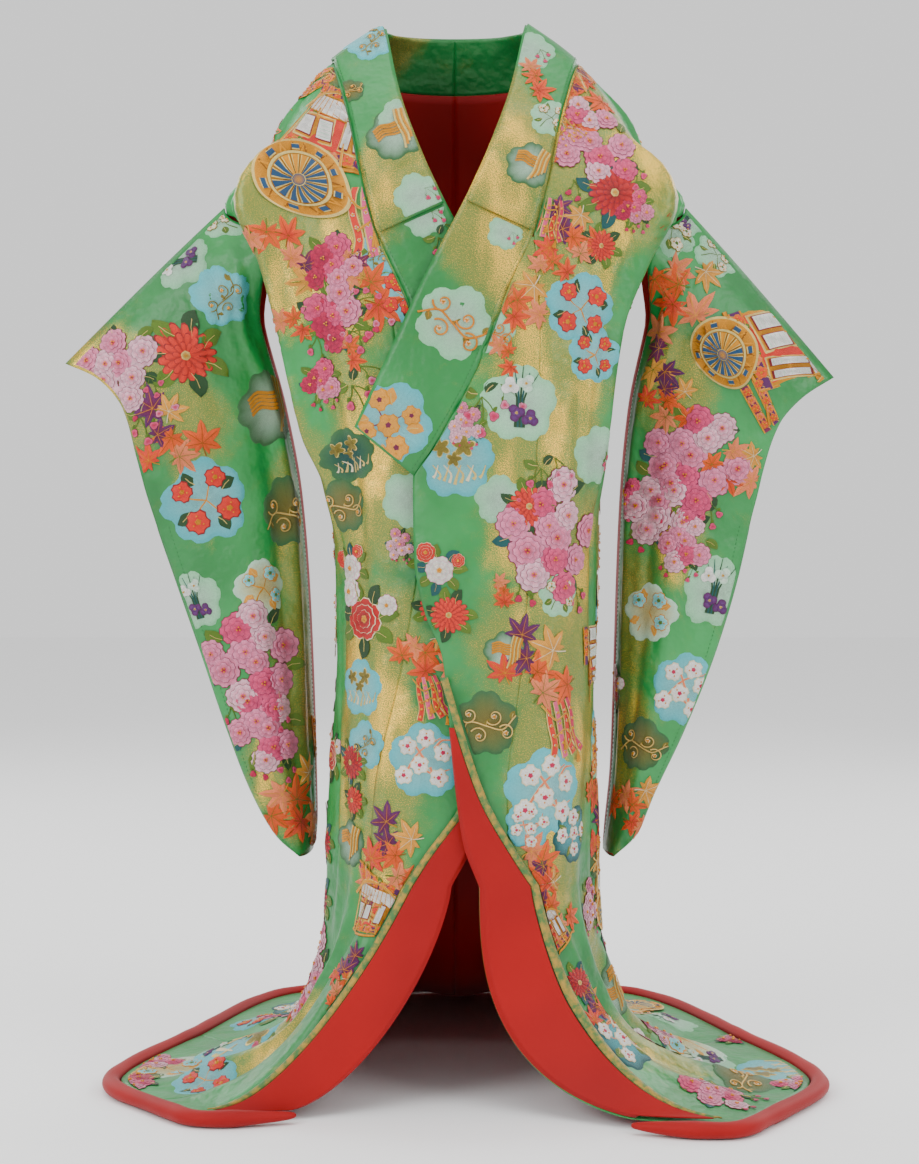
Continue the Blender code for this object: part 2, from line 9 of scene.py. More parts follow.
import bpy
import numpy as np
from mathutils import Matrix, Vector


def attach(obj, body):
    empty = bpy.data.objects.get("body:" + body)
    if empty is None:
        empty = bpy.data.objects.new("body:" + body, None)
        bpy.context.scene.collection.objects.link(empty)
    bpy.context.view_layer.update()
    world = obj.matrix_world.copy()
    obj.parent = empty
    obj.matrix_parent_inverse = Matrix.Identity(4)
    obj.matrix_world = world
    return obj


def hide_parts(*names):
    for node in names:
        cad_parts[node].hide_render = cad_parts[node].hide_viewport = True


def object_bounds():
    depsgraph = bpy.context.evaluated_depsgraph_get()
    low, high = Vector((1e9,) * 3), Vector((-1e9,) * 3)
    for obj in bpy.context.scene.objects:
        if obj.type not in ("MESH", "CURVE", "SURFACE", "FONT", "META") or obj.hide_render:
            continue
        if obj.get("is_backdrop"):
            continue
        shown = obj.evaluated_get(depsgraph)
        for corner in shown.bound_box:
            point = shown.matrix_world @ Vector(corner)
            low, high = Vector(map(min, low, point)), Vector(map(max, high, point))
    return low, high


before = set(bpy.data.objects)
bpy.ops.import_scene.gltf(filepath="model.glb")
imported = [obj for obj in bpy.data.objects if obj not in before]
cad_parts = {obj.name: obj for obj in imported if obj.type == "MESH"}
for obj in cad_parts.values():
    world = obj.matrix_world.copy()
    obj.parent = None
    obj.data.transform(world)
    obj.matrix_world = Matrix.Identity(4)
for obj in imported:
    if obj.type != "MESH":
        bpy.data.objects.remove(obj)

bl_info = {
    "name": "Uchikake",
    "version": (1, 0, 0),
    "blender": (4, 5, 0),
    "location": "View3D > Sidebar > Uchikake",
    "description": "Dresses an over-kimono in brocade, embroidery and a red lining",
    "category": "Object",
}

CAD_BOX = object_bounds()
BODY = "root"

# The garment's form, as its solids have it
HOLD_HEIGHT = 1.372
SKIRT_TOP = 0.28
YOKE_TOP = 1.326
COLLAR_BACK_SEAM = 1.300
COLLAR_BACK_TOP = 1.370
LAP_LIFT = 0.0135
LAP_FROM_ANGLE = 102.0
LAP_OVER_ANGLE = 34.0
LAP_END_ROW = 1.35
LAP_FADE_ROWS = 0.35
TURNED_LIFT = {"left": 0.0082, "right": 0.0066}
FOLD_LIFT = 0.0031
FOLD_FROM = 0.86
OVER_COLLAR_LIFT = 0.0042
OVER_COLLAR_END = 1.090
PIPING_WIDTH = 0.0085
PIPING_GAP = 0.0014
ROLL_HALF_WIDTH = 0.0125
ROLL_HALF_HEIGHT = 0.0105
ROLL_CENTRE_HEIGHT = 0.0138
ROLL_GAP = 0.0004
ROLL_TURNED_GAP = 0.0050
SLEEVE_ARMHOLE_GAP = 0.0006
SQUARENESS = 0.14
ANGLE_STEP = 0.5
ROW_STEP = 0.004
HEM_ROW = 2.0
SIDES = {"right": -1, "left": 1}
COLLAR_END = 0.790
OVERLAP_TOP = 1.083
TURN_TOP = {"left": 0.540, "right": 0.420}
NARROWEST_LINING = 0.005
HEM_HEIGHT = 0.0155
HEM_STEADY_ROW = 1.93
CORNER_ANGLE = {"left": 150.0, "right": 155.0}
ARMHOLE_DOWN = 0.10
SLEEVE_TOP = 1.136
CUFF_DOWN = 0.34
CUFF_DEPTH = 0.014
TURN_BEND = 0.7
FULL_TURN = 0.06


class Table:
    """A short table with named columns, read smoothly between its rows."""

    def __init__(self, names, *rows):
        rows = sorted(rows)
        self.keys = np.array([row[0] for row in rows], float)
        self.columns = {}
        for index, name in enumerate(names):
            values = np.array([row[index] for row in rows], float)
            self.columns[name] = (values, self.slopes(values))

    def slopes(self, values):
        runs = np.diff(self.keys)
        rises = np.diff(values) / runs
        slopes = np.zeros(len(values))
        slopes[0] = rises[0]
        slopes[-1] = rises[-1]
        for i in range(1, len(values) - 1):
            before, after = rises[i - 1], rises[i]
            if before * after > 0:
                near = 2 * runs[i] + runs[i - 1]
                far = runs[i] + 2 * runs[i - 1]
                slopes[i] = (near + far) / (near / before + far / after)
        return slopes

    def at(self, name, key):
        values, slopes = self.columns[name]
        key = np.clip(np.asarray(key, float), self.keys[0], self.keys[-1])
        i = np.clip(np.searchsorted(self.keys, key) - 1, 0, len(values) - 2)
        run = self.keys[i + 1] - self.keys[i]
        t = (key - self.keys[i]) / run
        start = (1 + 2 * t) * (1 - t) ** 2 * values[i] + t * (1 - t) ** 2 * run * slopes[i]
        end = t * t * (3 - 2 * t) * values[i + 1] + t * t * (t - 1) * run * slopes[i + 1]
        return start + end


RINGS = Table(
    ("height", "right", "left", "front", "back"),
    (1.376, 0.086, 0.086, 0.012, 0.080),
    (1.326, 0.159, 0.156, 0.042, 0.104),
    (1.258, 0.212, 0.216, 0.084, 0.128),
    (1.199, 0.250, 0.252, 0.112, 0.142),
    (1.140, 0.300, 0.300, 0.130, 0.148),
    (1.070, 0.260, 0.260, 0.142, 0.150),
    (0.980, 0.226, 0.216, 0.150, 0.148),
    (0.850, 0.186, 0.192, 0.152, 0.142),
    (0.780, 0.160, 0.186, 0.150, 0.142),
    (0.600, 0.152, 0.182, 0.147, 0.148),
    (0.440, 0.151, 0.176, 0.146, 0.158),
    (0.280, 0.153, 0.172, 0.148, 0.172),
)
SIDE_SLIT = Table(
    ("height", "open"),
    (0.280, 0.0),
    (0.930, 0.0),
    (1.000, 11.0),
    (1.070, 20.0),
    (1.140, 0.0),
    (1.400, 0.0),
)
COLLAR = Table(
    ("seam_height", "seam_out", "inner_height", "inner_out"),
    (1.326, 0.156, 1.370, 0.090),
    (1.235, 0.130, 1.274, 0.070),
    (1.161, 0.115, 1.192, 0.041),
    (1.092, 0.096, 1.130, 0.013),
    (1.012, 0.060, 1.047, -0.030),
    (0.908, 0.019, 0.953, -0.073),
    (0.833, -0.022, 0.885, -0.103),
    (0.790, -0.050, 0.850, -0.118),
)
EDGES = Table(
    ("height", "left", "right"),
    (0.280, 0.029, 0.004),
    (0.333, 0.010, -0.022),
    (0.408, 0.000, -0.034),
    (0.474, -0.006, -0.036),
    (0.564, -0.015, -0.040),
    (0.620, -0.036, -0.044),
    (0.683, -0.048, -0.048),
    (0.790, -0.050, -0.050),
)
OVERLAP_SEAM = Table(
    ("height", "left", "right"),
    (0.280, 0.066, 0.108),
    (0.383, 0.062, 0.102),
    (0.555, 0.080, 0.066),
    (0.740, 0.093, 0.040),
    (0.960, 0.101, 0.074),
    (1.092, 0.096, 0.096),
)
TURNED_EDGE = Table(
    ("height", "left", "right"),
    (0.280, 0.095, 0.060),
    (0.310, 0.078, 0.042),
    (0.389, 0.037, -0.012),
    (0.445, 0.018, -0.034),
    (0.508, 0.000, -0.036),
    (0.564, -0.015, -0.040),
)
HEM = {
    "left": Table(
        ("angle", "out", "y", "spread", "fall"),
        (0.0, 0.000, 0.560, 1.7, 2.2),
        (45.0, 0.255, 0.475, 1.8, 2.3),
        (90.0, 0.385, 0.190, 2.1, 2.4),
        (120.0, 0.453, -0.050, 2.0, 2.4),
        (138.0, 0.388, -0.190, 1.5, 2.2),
        (150.0, 0.318, -0.270, 1.25, 2.0),
        (172.0, 0.215, -0.245, 2.4, 1.6),
        (190.0, 0.195, -0.240, 2.4, 1.6),
    ),
    "right": Table(
        ("angle", "out", "y", "spread", "fall"),
        (0.0, 0.000, 0.560, 1.7, 2.2),
        (45.0, 0.240, 0.475, 1.8, 2.3),
        (90.0, 0.352, 0.200, 2.1, 2.4),
        (120.0, 0.427, -0.045, 2.0, 2.4),
        (140.0, 0.366, -0.155, 1.3, 2.2),
        (155.0, 0.300, -0.215, 0.92, 1.8),
        (178.0, 0.200, -0.196, 1.35, 1.5),
        (195.0, 0.180, -0.190, 1.35, 1.5),
    ),
}
FOLD_NAMES = ("angle_top", "angle_end", "top", "end", "rise", "width")
FOLDS = {
    "left": (
        (129, 119, 0.05, 0.60, 0.020, 9),
        (104, 100, 0.08, 0.36, -0.010, 7),
        (150, 152, 0.15, 0.70, 0.006, 8),
        (60, 52, 0.20, 1.95, 0.012, 11),
        (24, 22, 0.30, 1.98, 0.014, 10),
        (98, 92, 0.75, 1.90, 0.012, 8),
        (126, 128, 1.00, 1.92, 0.012, 8),
        (36, 38, 1.10, 1.98, 0.012, 8),
        (74, 72, 1.15, 1.98, 0.014, 8),
    ),
    "right": (
        (130, 116, 0.04, 0.62, 0.028, 9),
        (104, 100, 0.08, 0.40, -0.014, 7),
        (151, 152, 0.12, 0.62, 0.007, 8),
        (56, 58, 0.18, 1.95, 0.013, 11),
        (20, 26, 0.34, 1.98, 0.012, 10),
        (94, 98, 0.70, 1.92, 0.013, 8),
        (124, 122, 0.98, 1.90, 0.012, 8),
        (40, 42, 1.08, 1.98, 0.013, 8),
        (76, 74, 1.12, 1.98, 0.012, 8),
    ),
}
SLEEVE_NAMES = ("down", "in_out", "in_height", "out_out", "out_height", "depth", "turn")
SLEEVE = {
    "right": Table(
        SLEEVE_NAMES,
        (0.00, 0.306, 1.136, 0.506, 0.934, 0.000, 0.000),
        (0.05, 0.284, 1.108, 0.462, 0.914, 0.032, 0.000),
        (0.10, 0.266, 1.070, 0.430, 0.876, 0.040, 0.004),
        (0.20, 0.252, 0.985, 0.412, 0.812, 0.038, 0.030),
        (0.32, 0.226, 0.880, 0.392, 0.738, 0.032, 0.065),
        (0.45, 0.206, 0.765, 0.362, 0.650, 0.028, 0.085),
        (0.60, 0.196, 0.640, 0.330, 0.558, 0.026, 0.095),
        (0.74, 0.190, 0.510, 0.296, 0.458, 0.024, 0.095),
        (0.86, 0.186, 0.400, 0.262, 0.372, 0.020, 0.085),
        (0.94, 0.184, 0.330, 0.230, 0.318, 0.014, 0.075),
        (1.00, 0.188, 0.296, 0.202, 0.294, 0.000, 0.068),
    ),
    "left": Table(
        SLEEVE_NAMES,
        (0.00, 0.306, 1.136, 0.492, 0.916, 0.000, 0.000),
        (0.05, 0.284, 1.108, 0.450, 0.890, 0.032, 0.000),
        (0.10, 0.266, 1.070, 0.420, 0.856, 0.040, 0.004),
        (0.20, 0.252, 0.985, 0.400, 0.800, 0.038, 0.030),
        (0.32, 0.232, 0.880, 0.386, 0.738, 0.032, 0.060),
        (0.45, 0.222, 0.765, 0.366, 0.650, 0.028, 0.080),
        (0.60, 0.217, 0.640, 0.338, 0.558, 0.026, 0.090),
        (0.74, 0.213, 0.510, 0.298, 0.458, 0.024, 0.090),
        (0.86, 0.208, 0.400, 0.260, 0.378, 0.020, 0.080),
        (0.94, 0.200, 0.330, 0.234, 0.320, 0.014, 0.070),
        (1.00, 0.196, 0.296, 0.206, 0.294, 0.000, 0.064),
    ),
}

# Softer creases that only the cloth has, in the same columns as the folds
CREASES = {
    "left": (
        (128, 121, 0.10, 0.52, 0.007, 3),
        (112, 108, 0.06, 0.42, -0.006, 4),
        (141, 138, 0.22, 0.66, 0.0035, 4),
        (160, 150, 0.34, 0.60, -0.0030, 4),
        (133, 130, 0.50, 1.20, -0.0030, 5),
        (110, 106, 0.45, 1.30, 0.0045, 5),
        (146, 143, 0.72, 1.30, 0.0030, 5),
        (118, 122, 0.80, 1.60, -0.0040, 5),
        (84, 80, 0.30, 1.20, -0.0050, 6),
        (103, 99, 0.02, 0.30, 0.0060, 2.2),
        (98, 94, 0.02, 0.34, -0.0060, 2.2),
        (124, 116, 0.20, 0.80, -0.0060, 2.4),
        (137, 131, 0.14, 0.60, 0.0050, 2.4),
        (108, 104, 0.60, 1.10, -0.0050, 2.6),
        (72, 76, 0.10, 0.70, 0.0050, 7),
        (44, 40, 0.10, 1.10, -0.0050, 7),
        (10, 14, 0.40, 1.60, -0.0050, 7),
        (36, 30, 0.60, 1.50, 0.0050, 6),
        (142, 136, 1.06, 1.94, 0.0075, 3.5),
        (133, 128, 1.20, 1.96, -0.0070, 4),
        (122, 120, 1.14, 1.90, 0.0100, 4),
        (112, 108, 1.26, 1.96, -0.0080, 4),
        (102, 98, 1.10, 1.94, 0.0110, 4.5),
        (88, 84, 1.24, 1.96, -0.0080, 5),
        (54, 50, 1.20, 1.95, -0.0070, 6),
        (40, 34, 1.16, 1.90, 0.0080, 5),
        (14, 12, 1.25, 1.95, 0.0080, 6),
    ),
    "right": (
        (129, 118, 0.08, 0.54, 0.008, 3),
        (113, 108, 0.06, 0.44, -0.008, 4),
        (142, 140, 0.18, 0.60, 0.0040, 4),
        (158, 148, 0.30, 0.58, -0.0030, 4),
        (136, 132, 0.48, 1.10, -0.0035, 5),
        (108, 110, 0.50, 1.25, 0.0045, 5),
        (148, 146, 0.66, 1.20, 0.0030, 5),
        (120, 116, 0.82, 1.60, -0.0040, 5),
        (82, 86, 0.28, 1.20, -0.0050, 6),
        (104, 100, 0.02, 0.28, 0.0060, 2.2),
        (99, 95, 0.02, 0.32, -0.0060, 2.2),
        (121, 113, 0.22, 0.84, -0.0065, 2.4),
        (134, 130, 0.16, 0.56, 0.0050, 2.4),
        (112, 106, 0.58, 1.08, -0.0050, 2.6),
        (70, 66, 0.12, 0.66, 0.0050, 7),
        (42, 44, 0.14, 1.05, -0.0050, 7),
        (8, 12, 0.30, 1.55, 0.0050, 7),
        (32, 36, 0.55, 1.45, -0.0050, 6),
        (146, 141, 1.08, 1.94, 0.0075, 3.5),
        (136, 132, 1.18, 1.96, -0.0070, 4),
        (126, 121, 1.12, 1.92, 0.0105, 4),
        (114, 112, 1.24, 1.96, -0.0080, 4),
        (103, 101, 1.08, 1.94, 0.0110, 4.5),
        (86, 88, 1.22, 1.96, -0.0080, 5),
        (58, 60, 1.18, 1.95, -0.0070, 6),
        (44, 40, 1.14, 1.90, 0.0080, 5),
        (12, 10, 1.22, 1.95, 0.0080, 6),
    ),
}


def smooth(t):
    t = np.clip(t, 0.0, 1.0)
    return t * t * (3 - 2 * t)


def height_of(row):
    """Rows run from 0 at the collar seam to 1 where the skirt begins, and 2 at the hem."""
    return YOKE_TOP + (SKIRT_TOP - YOKE_TOP) * np.minimum(row, 1.0)


def row_of(height):
    return (YOKE_TOP - height) / (YOKE_TOP - SKIRT_TOP)


def ring(side, angle, height):
    """A point of the level section: 0 is the centre back, 90 the side, 180 the front."""
    turn = np.radians(angle)
    sine, cosine = np.sin(turn), np.cos(turn)
    across = SIDES[side] * sine * (1 + SQUARENESS * cosine * cosine)
    along = cosine * (1 + SQUARENESS * sine * sine)
    width = np.where(across > 0, RINGS.at("left", height), RINGS.at("right", height))
    depth = np.where(along > 0, RINGS.at("back", height), RINGS.at("front", height))
    return np.stack((across * width, along * depth, height + 0 * across), axis=-1)


def angle_at(side, out, height):
    """The front angle at which the section has this distance out from the middle."""
    out, height = np.broadcast_arrays(np.asarray(out, float), np.asarray(height, float))
    low, high = np.full(out.shape, 90.0), np.full(out.shape, 270.0)
    for _ in range(34):
        middle = (low + high) / 2
        beyond = SIDES[side] * ring(side, middle, height)[..., 0] > out
        low = np.where(beyond, middle, low)
        high = np.where(beyond, high, middle)
    return (low + high) / 2


def skirt(side, angle, fall):
    """The cloth below the tube, which falls and then spreads out on the floor."""
    fall = np.maximum(fall, 0.0)
    start = ring(side, angle, SKIRT_TOP + 0 * fall)
    hem = HEM[side]
    out = SIDES[side] * hem.at("out", angle)
    target = np.stack((out, hem.at("y", angle), HEM_HEIGHT + 0 * out), axis=-1)
    spread = fall ** hem.at("spread", angle)
    drop = 1 - np.maximum(1 - fall, 0.0) ** hem.at("fall", angle)
    share = np.stack((spread, spread, drop), axis=-1)
    return start + (target - start) * share


def bare_body(side, angle, row):
    upper = ring(side, angle, height_of(row))
    lower = skirt(side, angle, row - 1)
    return np.where((row <= 1)[..., None], upper, lower)


def normal_of(surface, a, b, a_step, b_step, b_end):
    b = np.minimum(b, b_end)
    across = surface(a + a_step, b) - surface(a - a_step, b)
    down = surface(a, b + b_step) - surface(a, b - b_step)
    normal = np.cross(across, down)
    return normal / np.linalg.norm(normal, axis=-1, keepdims=True)


def fold_rise(folds, angle, row):
    total = np.zeros(np.broadcast(angle, row).shape)
    for values in folds:
        fold = dict(zip(FOLD_NAMES, values))
        share = (row - fold["top"]) / (fold["end"] - fold["top"])
        centre = fold["angle_top"] + (fold["angle_end"] - fold["angle_top"]) * share
        fade = smooth(share / 0.2) * smooth((1 - share) / 0.2)
        away = (angle - centre) / fold["width"]
        total += fold["rise"] * fade * np.exp(-away * away)
    return total


def body(side, angle, row, lift=0.0, creased=1.0):
    """The garment's outer form, with its folds, and moved out for what lies on top."""
    angle, row = np.broadcast_arrays(np.asarray(angle, float), np.asarray(row, float))

    def bare(a, b):
        return bare_body(side, a, b)

    normal = normal_of(bare, angle, row, ANGLE_STEP, ROW_STEP, HEM_STEADY_ROW) * SIDES[side]
    rise = fold_rise(FOLDS[side], angle, row) + lift
    if creased:
        rise = rise + creased * fold_rise(CREASES[side], angle, row)
    if side == "left":
        lapped = smooth((angle - LAP_FROM_ANGLE) / LAP_OVER_ANGLE)
        rise = rise + LAP_LIFT * lapped * smooth((LAP_END_ROW - row) / LAP_FADE_ROWS)
    return bare(angle, row) + normal * rise[..., None]


def inset(side, angle, row, distance):
    """The angle moved by a distance along the cloth."""
    ahead = body(side, angle + ANGLE_STEP, row, creased=0.0)
    behind = body(side, angle - ANGLE_STEP, row, creased=0.0)
    return angle + 2 * ANGLE_STEP * distance / np.linalg.norm(ahead - behind, axis=-1)


def side_angle(row):
    return 90.0 + np.where(row >= 1, 0.0, SIDE_SLIT.at("open", height_of(row)))


def edge_angle(side, row):
    """The front edge: the collar's seam, then the free edge, then the turned-back line."""
    height = height_of(row)
    out = np.where(height > COLLAR_END, COLLAR.at("seam_out", height), EDGES.at(side, height))
    return angle_at(side, out, height)


def seam_angle(side, row):
    height = height_of(row)
    return angle_at(side, OVERLAP_SEAM.at(side, height), height)


def turned_angle(side, row):
    height = height_of(row)
    upper = angle_at(side, TURNED_EDGE.at(side, height), height)
    start = angle_at(side, TURNED_EDGE.at(side, SKIRT_TOP), SKIRT_TOP)
    lower = start + (CORNER_ANGLE[side] - start) * smooth((row - 1) * 1.1)
    return np.where(row <= 1, upper, lower)


def back_span(_, row):
    return 0.0 * row, 180.0 - side_angle(row)


def front_span(side, row):
    return side_angle(row), np.minimum(seam_angle(side, row), edge_angle(side, row))


def overlap_span(side, row):
    return seam_angle(side, row), edge_angle(side, row)


def collar_seam_back(angle):
    """The collar's seam dips from the shoulder to the centre back."""
    return COLLAR_BACK_SEAM + (YOKE_TOP - COLLAR_BACK_SEAM) * smooth(angle / 90.0)


def collar_place(side, along, across):
    """Along -1 is the centre back, 0 the shoulder, 1 the front end; across 0 is the seam."""
    angle = 90.0 * (1 + np.minimum(along, 0.0))
    seam = collar_seam_back(angle)
    back_height = seam + (COLLAR_BACK_TOP - seam) * across
    seam_height = YOKE_TOP + (COLLAR_END - YOKE_TOP) * np.maximum(along, 0.0)
    inner_height = COLLAR.at("inner_height", seam_height)
    seam_out = COLLAR.at("seam_out", seam_height)
    front_height = seam_height + (inner_height - seam_height) * across
    out = seam_out + (COLLAR.at("inner_out", seam_height) - seam_out) * across
    front_angle = angle_at(side, out, front_height)
    at_back = along < 0
    return np.where(at_back, angle, front_angle), row_of(np.where(at_back, back_height, front_height))


def collar_surface(side, along, across, lift=0.0):
    along, across = np.broadcast_arrays(np.asarray(along, float), np.asarray(across, float))
    angle, row = collar_place(side, along, across)
    return body(side, angle, row, lift + collar_rise(side, along, across), creased=0.0)


def collar_rise(side, along, across):
    """Soft creases that cross the collar, where the fronts are drawn together."""
    total = np.zeros(along.shape)
    for crease in COLLAR_CREASES[side]:
        centre = crease["along"] + crease["slant"] * (across - 0.5)
        away = (along - centre) / crease["width"]
        near = np.exp(-((across - crease["across"]) / crease["reach"]) ** 2)
        total += crease["rise"] * near * np.exp(-away * away)
    return total


def named_rows(names, *rows):
    return tuple(dict(zip(names, row)) for row in rows)


def sided(names, **tables):
    """A table for each side, in the same columns."""
    return {side: named_rows(names, *rows) for side, rows in tables.items()}


COLLAR_CREASES = sided(
    ("along", "slant", "width", "across", "reach", "rise"),
    left=(
        (0.640, 0.030, 0.012, 0.30, 0.50, 0.0026),
        (0.668, 0.035, 0.010, 0.40, 0.45, -0.0022),
        (0.700, 0.030, 0.012, 0.30, 0.55, 0.0026),
        (0.732, 0.040, 0.011, 0.35, 0.50, -0.0024),
        (0.765, 0.030, 0.013, 0.25, 0.45, 0.0024),
        (0.560, 0.060, 0.030, 0.60, 0.60, -0.0016),
        (0.905, 0.050, 0.020, 0.40, 0.50, -0.0014),
        (0.960, 0.030, 0.014, 0.20, 0.35, 0.0020),
        (0.220, 0.050, 0.040, 0.50, 0.70, 0.0014),
        (0.400, 0.050, 0.040, 0.50, 0.70, -0.0012),
        (-0.500, 0.020, 0.060, 0.50, 0.80, 0.0012),
    ),
    right=(
        (0.180, 0.050, 0.040, 0.50, 0.70, 0.0014),
        (0.300, 0.050, 0.030, 0.60, 0.70, -0.0014),
        (0.450, 0.060, 0.030, 0.40, 0.60, 0.0014),
        (-0.450, 0.020, 0.060, 0.50, 0.80, -0.0012),
    ),
)


def armhole_point(side, face, height):
    """A point of the sleeve's sewn edge, a little clear of the body's."""
    row = row_of(height)
    apart = smooth((SLEEVE_TOP - height) / 0.02)
    angle = 90.0 + face * SIDE_SLIT.at("open", height)
    angle = inset(side, angle, row, -face * SLEEVE_ARMHOLE_GAP * apart)
    point = body(side, angle, row, creased=0.0)
    point[..., 0] += SIDES[side] * SLEEVE_ARMHOLE_GAP * (1 - apart)
    return point


def sleeve_bare(side, face, across, down):
    """Across 0 is the open inner edge and 1 the cuff side; face 1 is the front wall."""
    rows, sign = SLEEVE[side], SIDES[side]
    bend = 1.0 + TURN_BEND * smooth(rows.at("turn", down) / FULL_TURN)
    share = np.maximum(across, 0.0) ** bend
    out = rows.at("in_out", down) + (rows.at("out_out", down) - rows.at("in_out", down)) * share
    height = rows.at("in_height", down)
    height = height + (rows.at("out_height", down) - height) * share
    cuff = CUFF_DEPTH * smooth((CUFF_DOWN - down) / 0.08) * smooth(down / 0.05)
    belly = np.sqrt(np.maximum(0.0, 1 - np.clip(across, 0.0, 1.0) ** 2.4))
    depth = rows.at("depth", down) * (0.25 + 0.75 * belly) * belly + cuff * across ** 3
    turn = rows.at("turn", down) * np.maximum(1 - across, 0.0) ** 2.2
    point = np.stack((sign * out, turn - face * depth, height), axis=-1)
    hold = smooth((2 * ARMHOLE_DOWN - down) / ARMHOLE_DOWN)
    sewn = np.minimum(down, ARMHOLE_DOWN)
    start_height = rows.at("in_height", sewn)
    armhole = armhole_point(side, face, start_height)
    start = np.stack((sign * rows.at("in_out", sewn),
                      rows.at("turn", sewn) - face * rows.at("depth", sewn), start_height), axis=-1)
    return point + (armhole - start) * (hold * np.maximum(1 - across, 0.0) ** 3)[..., None]


SLEEVE_CREASES = sided(
    ("across", "slant", "width", "down", "reach", "rise"),
    right=(
        (0.22, 0.10, 0.060, 0.45, 0.30, 0.0085),
        (0.38, 0.16, 0.070, 0.55, 0.28, -0.0070),
        (0.62, 0.10, 0.080, 0.62, 0.26, 0.0065),
        (0.30, 0.30, 0.050, 0.16, 0.10, 0.0035),
        (0.10, 0.20, 0.030, 0.12, 0.06, -0.0030),
        (0.55, 0.25, 0.060, 0.20, 0.12, -0.0035),
        (0.15, 0.05, 0.040, 0.75, 0.18, -0.0040),
        (0.16, 0.80, 0.022, 0.13, 0.09, 0.0055),
        (0.30, 0.90, 0.024, 0.12, 0.08, -0.0050),
        (0.44, 0.90, 0.026, 0.12, 0.07, 0.0040),
    ),
    left=(
        (0.20, 0.08, 0.055, 0.48, 0.30, 0.0080),
        (0.42, 0.12, 0.070, 0.52, 0.28, -0.0070),
        (0.66, 0.12, 0.080, 0.60, 0.26, 0.0065),
        (0.26, 0.30, 0.045, 0.15, 0.10, 0.0035),
        (0.12, 0.20, 0.030, 0.11, 0.06, -0.0030),
        (0.50, 0.22, 0.060, 0.22, 0.12, -0.0035),
        (0.14, 0.06, 0.040, 0.72, 0.18, -0.0040),
        (0.14, 0.80, 0.022, 0.14, 0.09, 0.0055),
        (0.27, 0.90, 0.024, 0.12, 0.08, -0.0055),
        (0.41, 0.95, 0.026, 0.13, 0.07, 0.0040),
    ),
)


def sleeve_rise(side, across, down):
    """Creases run down the sleeve; they fade at its open and sewn edges."""
    total = np.zeros(across.shape)
    for crease in SLEEVE_CREASES[side]:
        centre = crease["across"] + crease["slant"] * (down - crease["down"])
        away = (across - centre) / crease["width"]
        near = np.exp(-((down - crease["down"]) / crease["reach"]) ** 2)
        total += crease["rise"] * near * np.exp(-away * away)
    edge = smooth(across / 0.08) * smooth((1 - across) / 0.12)
    return total * edge * smooth(down / 0.06) * smooth((1 - down) / 0.08)


def sleeve_surface(side, face, across, down, lift=0.0):
    across, down = np.broadcast_arrays(np.asarray(across, float), np.asarray(down, float))

    def bare(a, b):
        return sleeve_bare(side, face, a, b)

    a, b = np.clip(across, 0.012, 0.988), np.clip(down, 0.008, 0.992)
    normal = normal_of(bare, a, b, 0.01, 0.006, 1.0)
    normal = normal * np.sign(-face * normal[..., 1:2])
    rise = lift + sleeve_rise(side, across, down)
    return bare(across, down) + normal * rise[..., None]


# Cloth meshes

def quads_of(index, flip=False):
    quads = np.stack((index[:-1, :-1], index[:-1, 1:], index[1:, 1:], index[1:, :-1]), axis=-1)
    quads = quads.reshape(-1, 4)
    return quads[:, ::-1] if flip else quads


def grid_faces(rows, columns, flip=False):
    return quads_of(np.arange(rows * columns).reshape(rows, columns), flip)


def sheet_normals(points, faces):
    corners = points[faces]
    normal = np.cross(corners[:, 2] - corners[:, 0], corners[:, 3] - corners[:, 1])
    total = np.zeros_like(points)
    for k in range(4):
        np.add.at(total, faces[:, k], normal)
    lengths = np.linalg.norm(total, axis=1, keepdims=True)
    return total / np.maximum(lengths, 1e-12)


def make_mesh(name, points, faces, materials, slots=None, cut=None, attributes=None):
    """A mesh object with its place in its vertices, its cut as a UV map and its attributes."""
    mesh = bpy.data.meshes.new(name)
    placed = np.asarray(points) - np.array((0.0, 0.0, HOLD_HEIGHT))
    mesh.from_pydata(placed.tolist(), [], [list(face) for face in faces])
    thing = bpy.data.objects.new(name, mesh)
    bpy.context.scene.collection.objects.link(thing)
    for material in materials:
        mesh.materials.append(material)
    if slots is not None:
        mesh.polygons.foreach_set("material_index", np.asarray(slots, np.int32))
    if cut is not None:
        layer = mesh.uv_layers.new(name="cut")
        corners = np.empty(len(mesh.loops), np.int32)
        mesh.loops.foreach_get("vertex_index", corners)
        layer.data.foreach_set("uv", np.asarray(cut, np.float32)[corners].ravel())
    for key, values in (attributes or {}).items():
        layer = mesh.attributes.new(key, "FLOAT", "POINT")
        layer.data.foreach_set("value", np.asarray(values, np.float32))
    mesh.polygons.foreach_set("use_smooth", np.full(len(mesh.polygons), True))
    mesh.update()
    return thing


def wall(name, points, faces, materials, cut, thickness, attributes=None):
    """Give a sheet its thickness and close it along its free edges; the inside is lined."""
    points, faces = np.asarray(points), np.asarray(faces)
    normals = sheet_normals(points, faces)
    outer = points + normals * thickness / 2
    inner = points - normals * thickness / 2
    count = len(points)
    starts = faces.ravel()
    ends = np.roll(faces, -1, axis=1).ravel()
    known = set(zip(starts.tolist(), ends.tolist()))
    rim = [(e, s, count + s, count + e) for s, e in known if (e, s) not in known]
    solid = np.vstack((faces, faces[:, ::-1] + count, np.array(sorted(rim), int)))
    slots = np.zeros(len(solid), int)
    slots[len(faces):2 * len(faces)] = 1 if len(materials) > 1 else 0
    both = {key: np.tile(values, 2) for key, values in (attributes or {}).items()}
    return make_mesh(name, np.vstack((outer, inner)), solid, materials, slots,
                     np.tile(cut, (2, 1)), both)


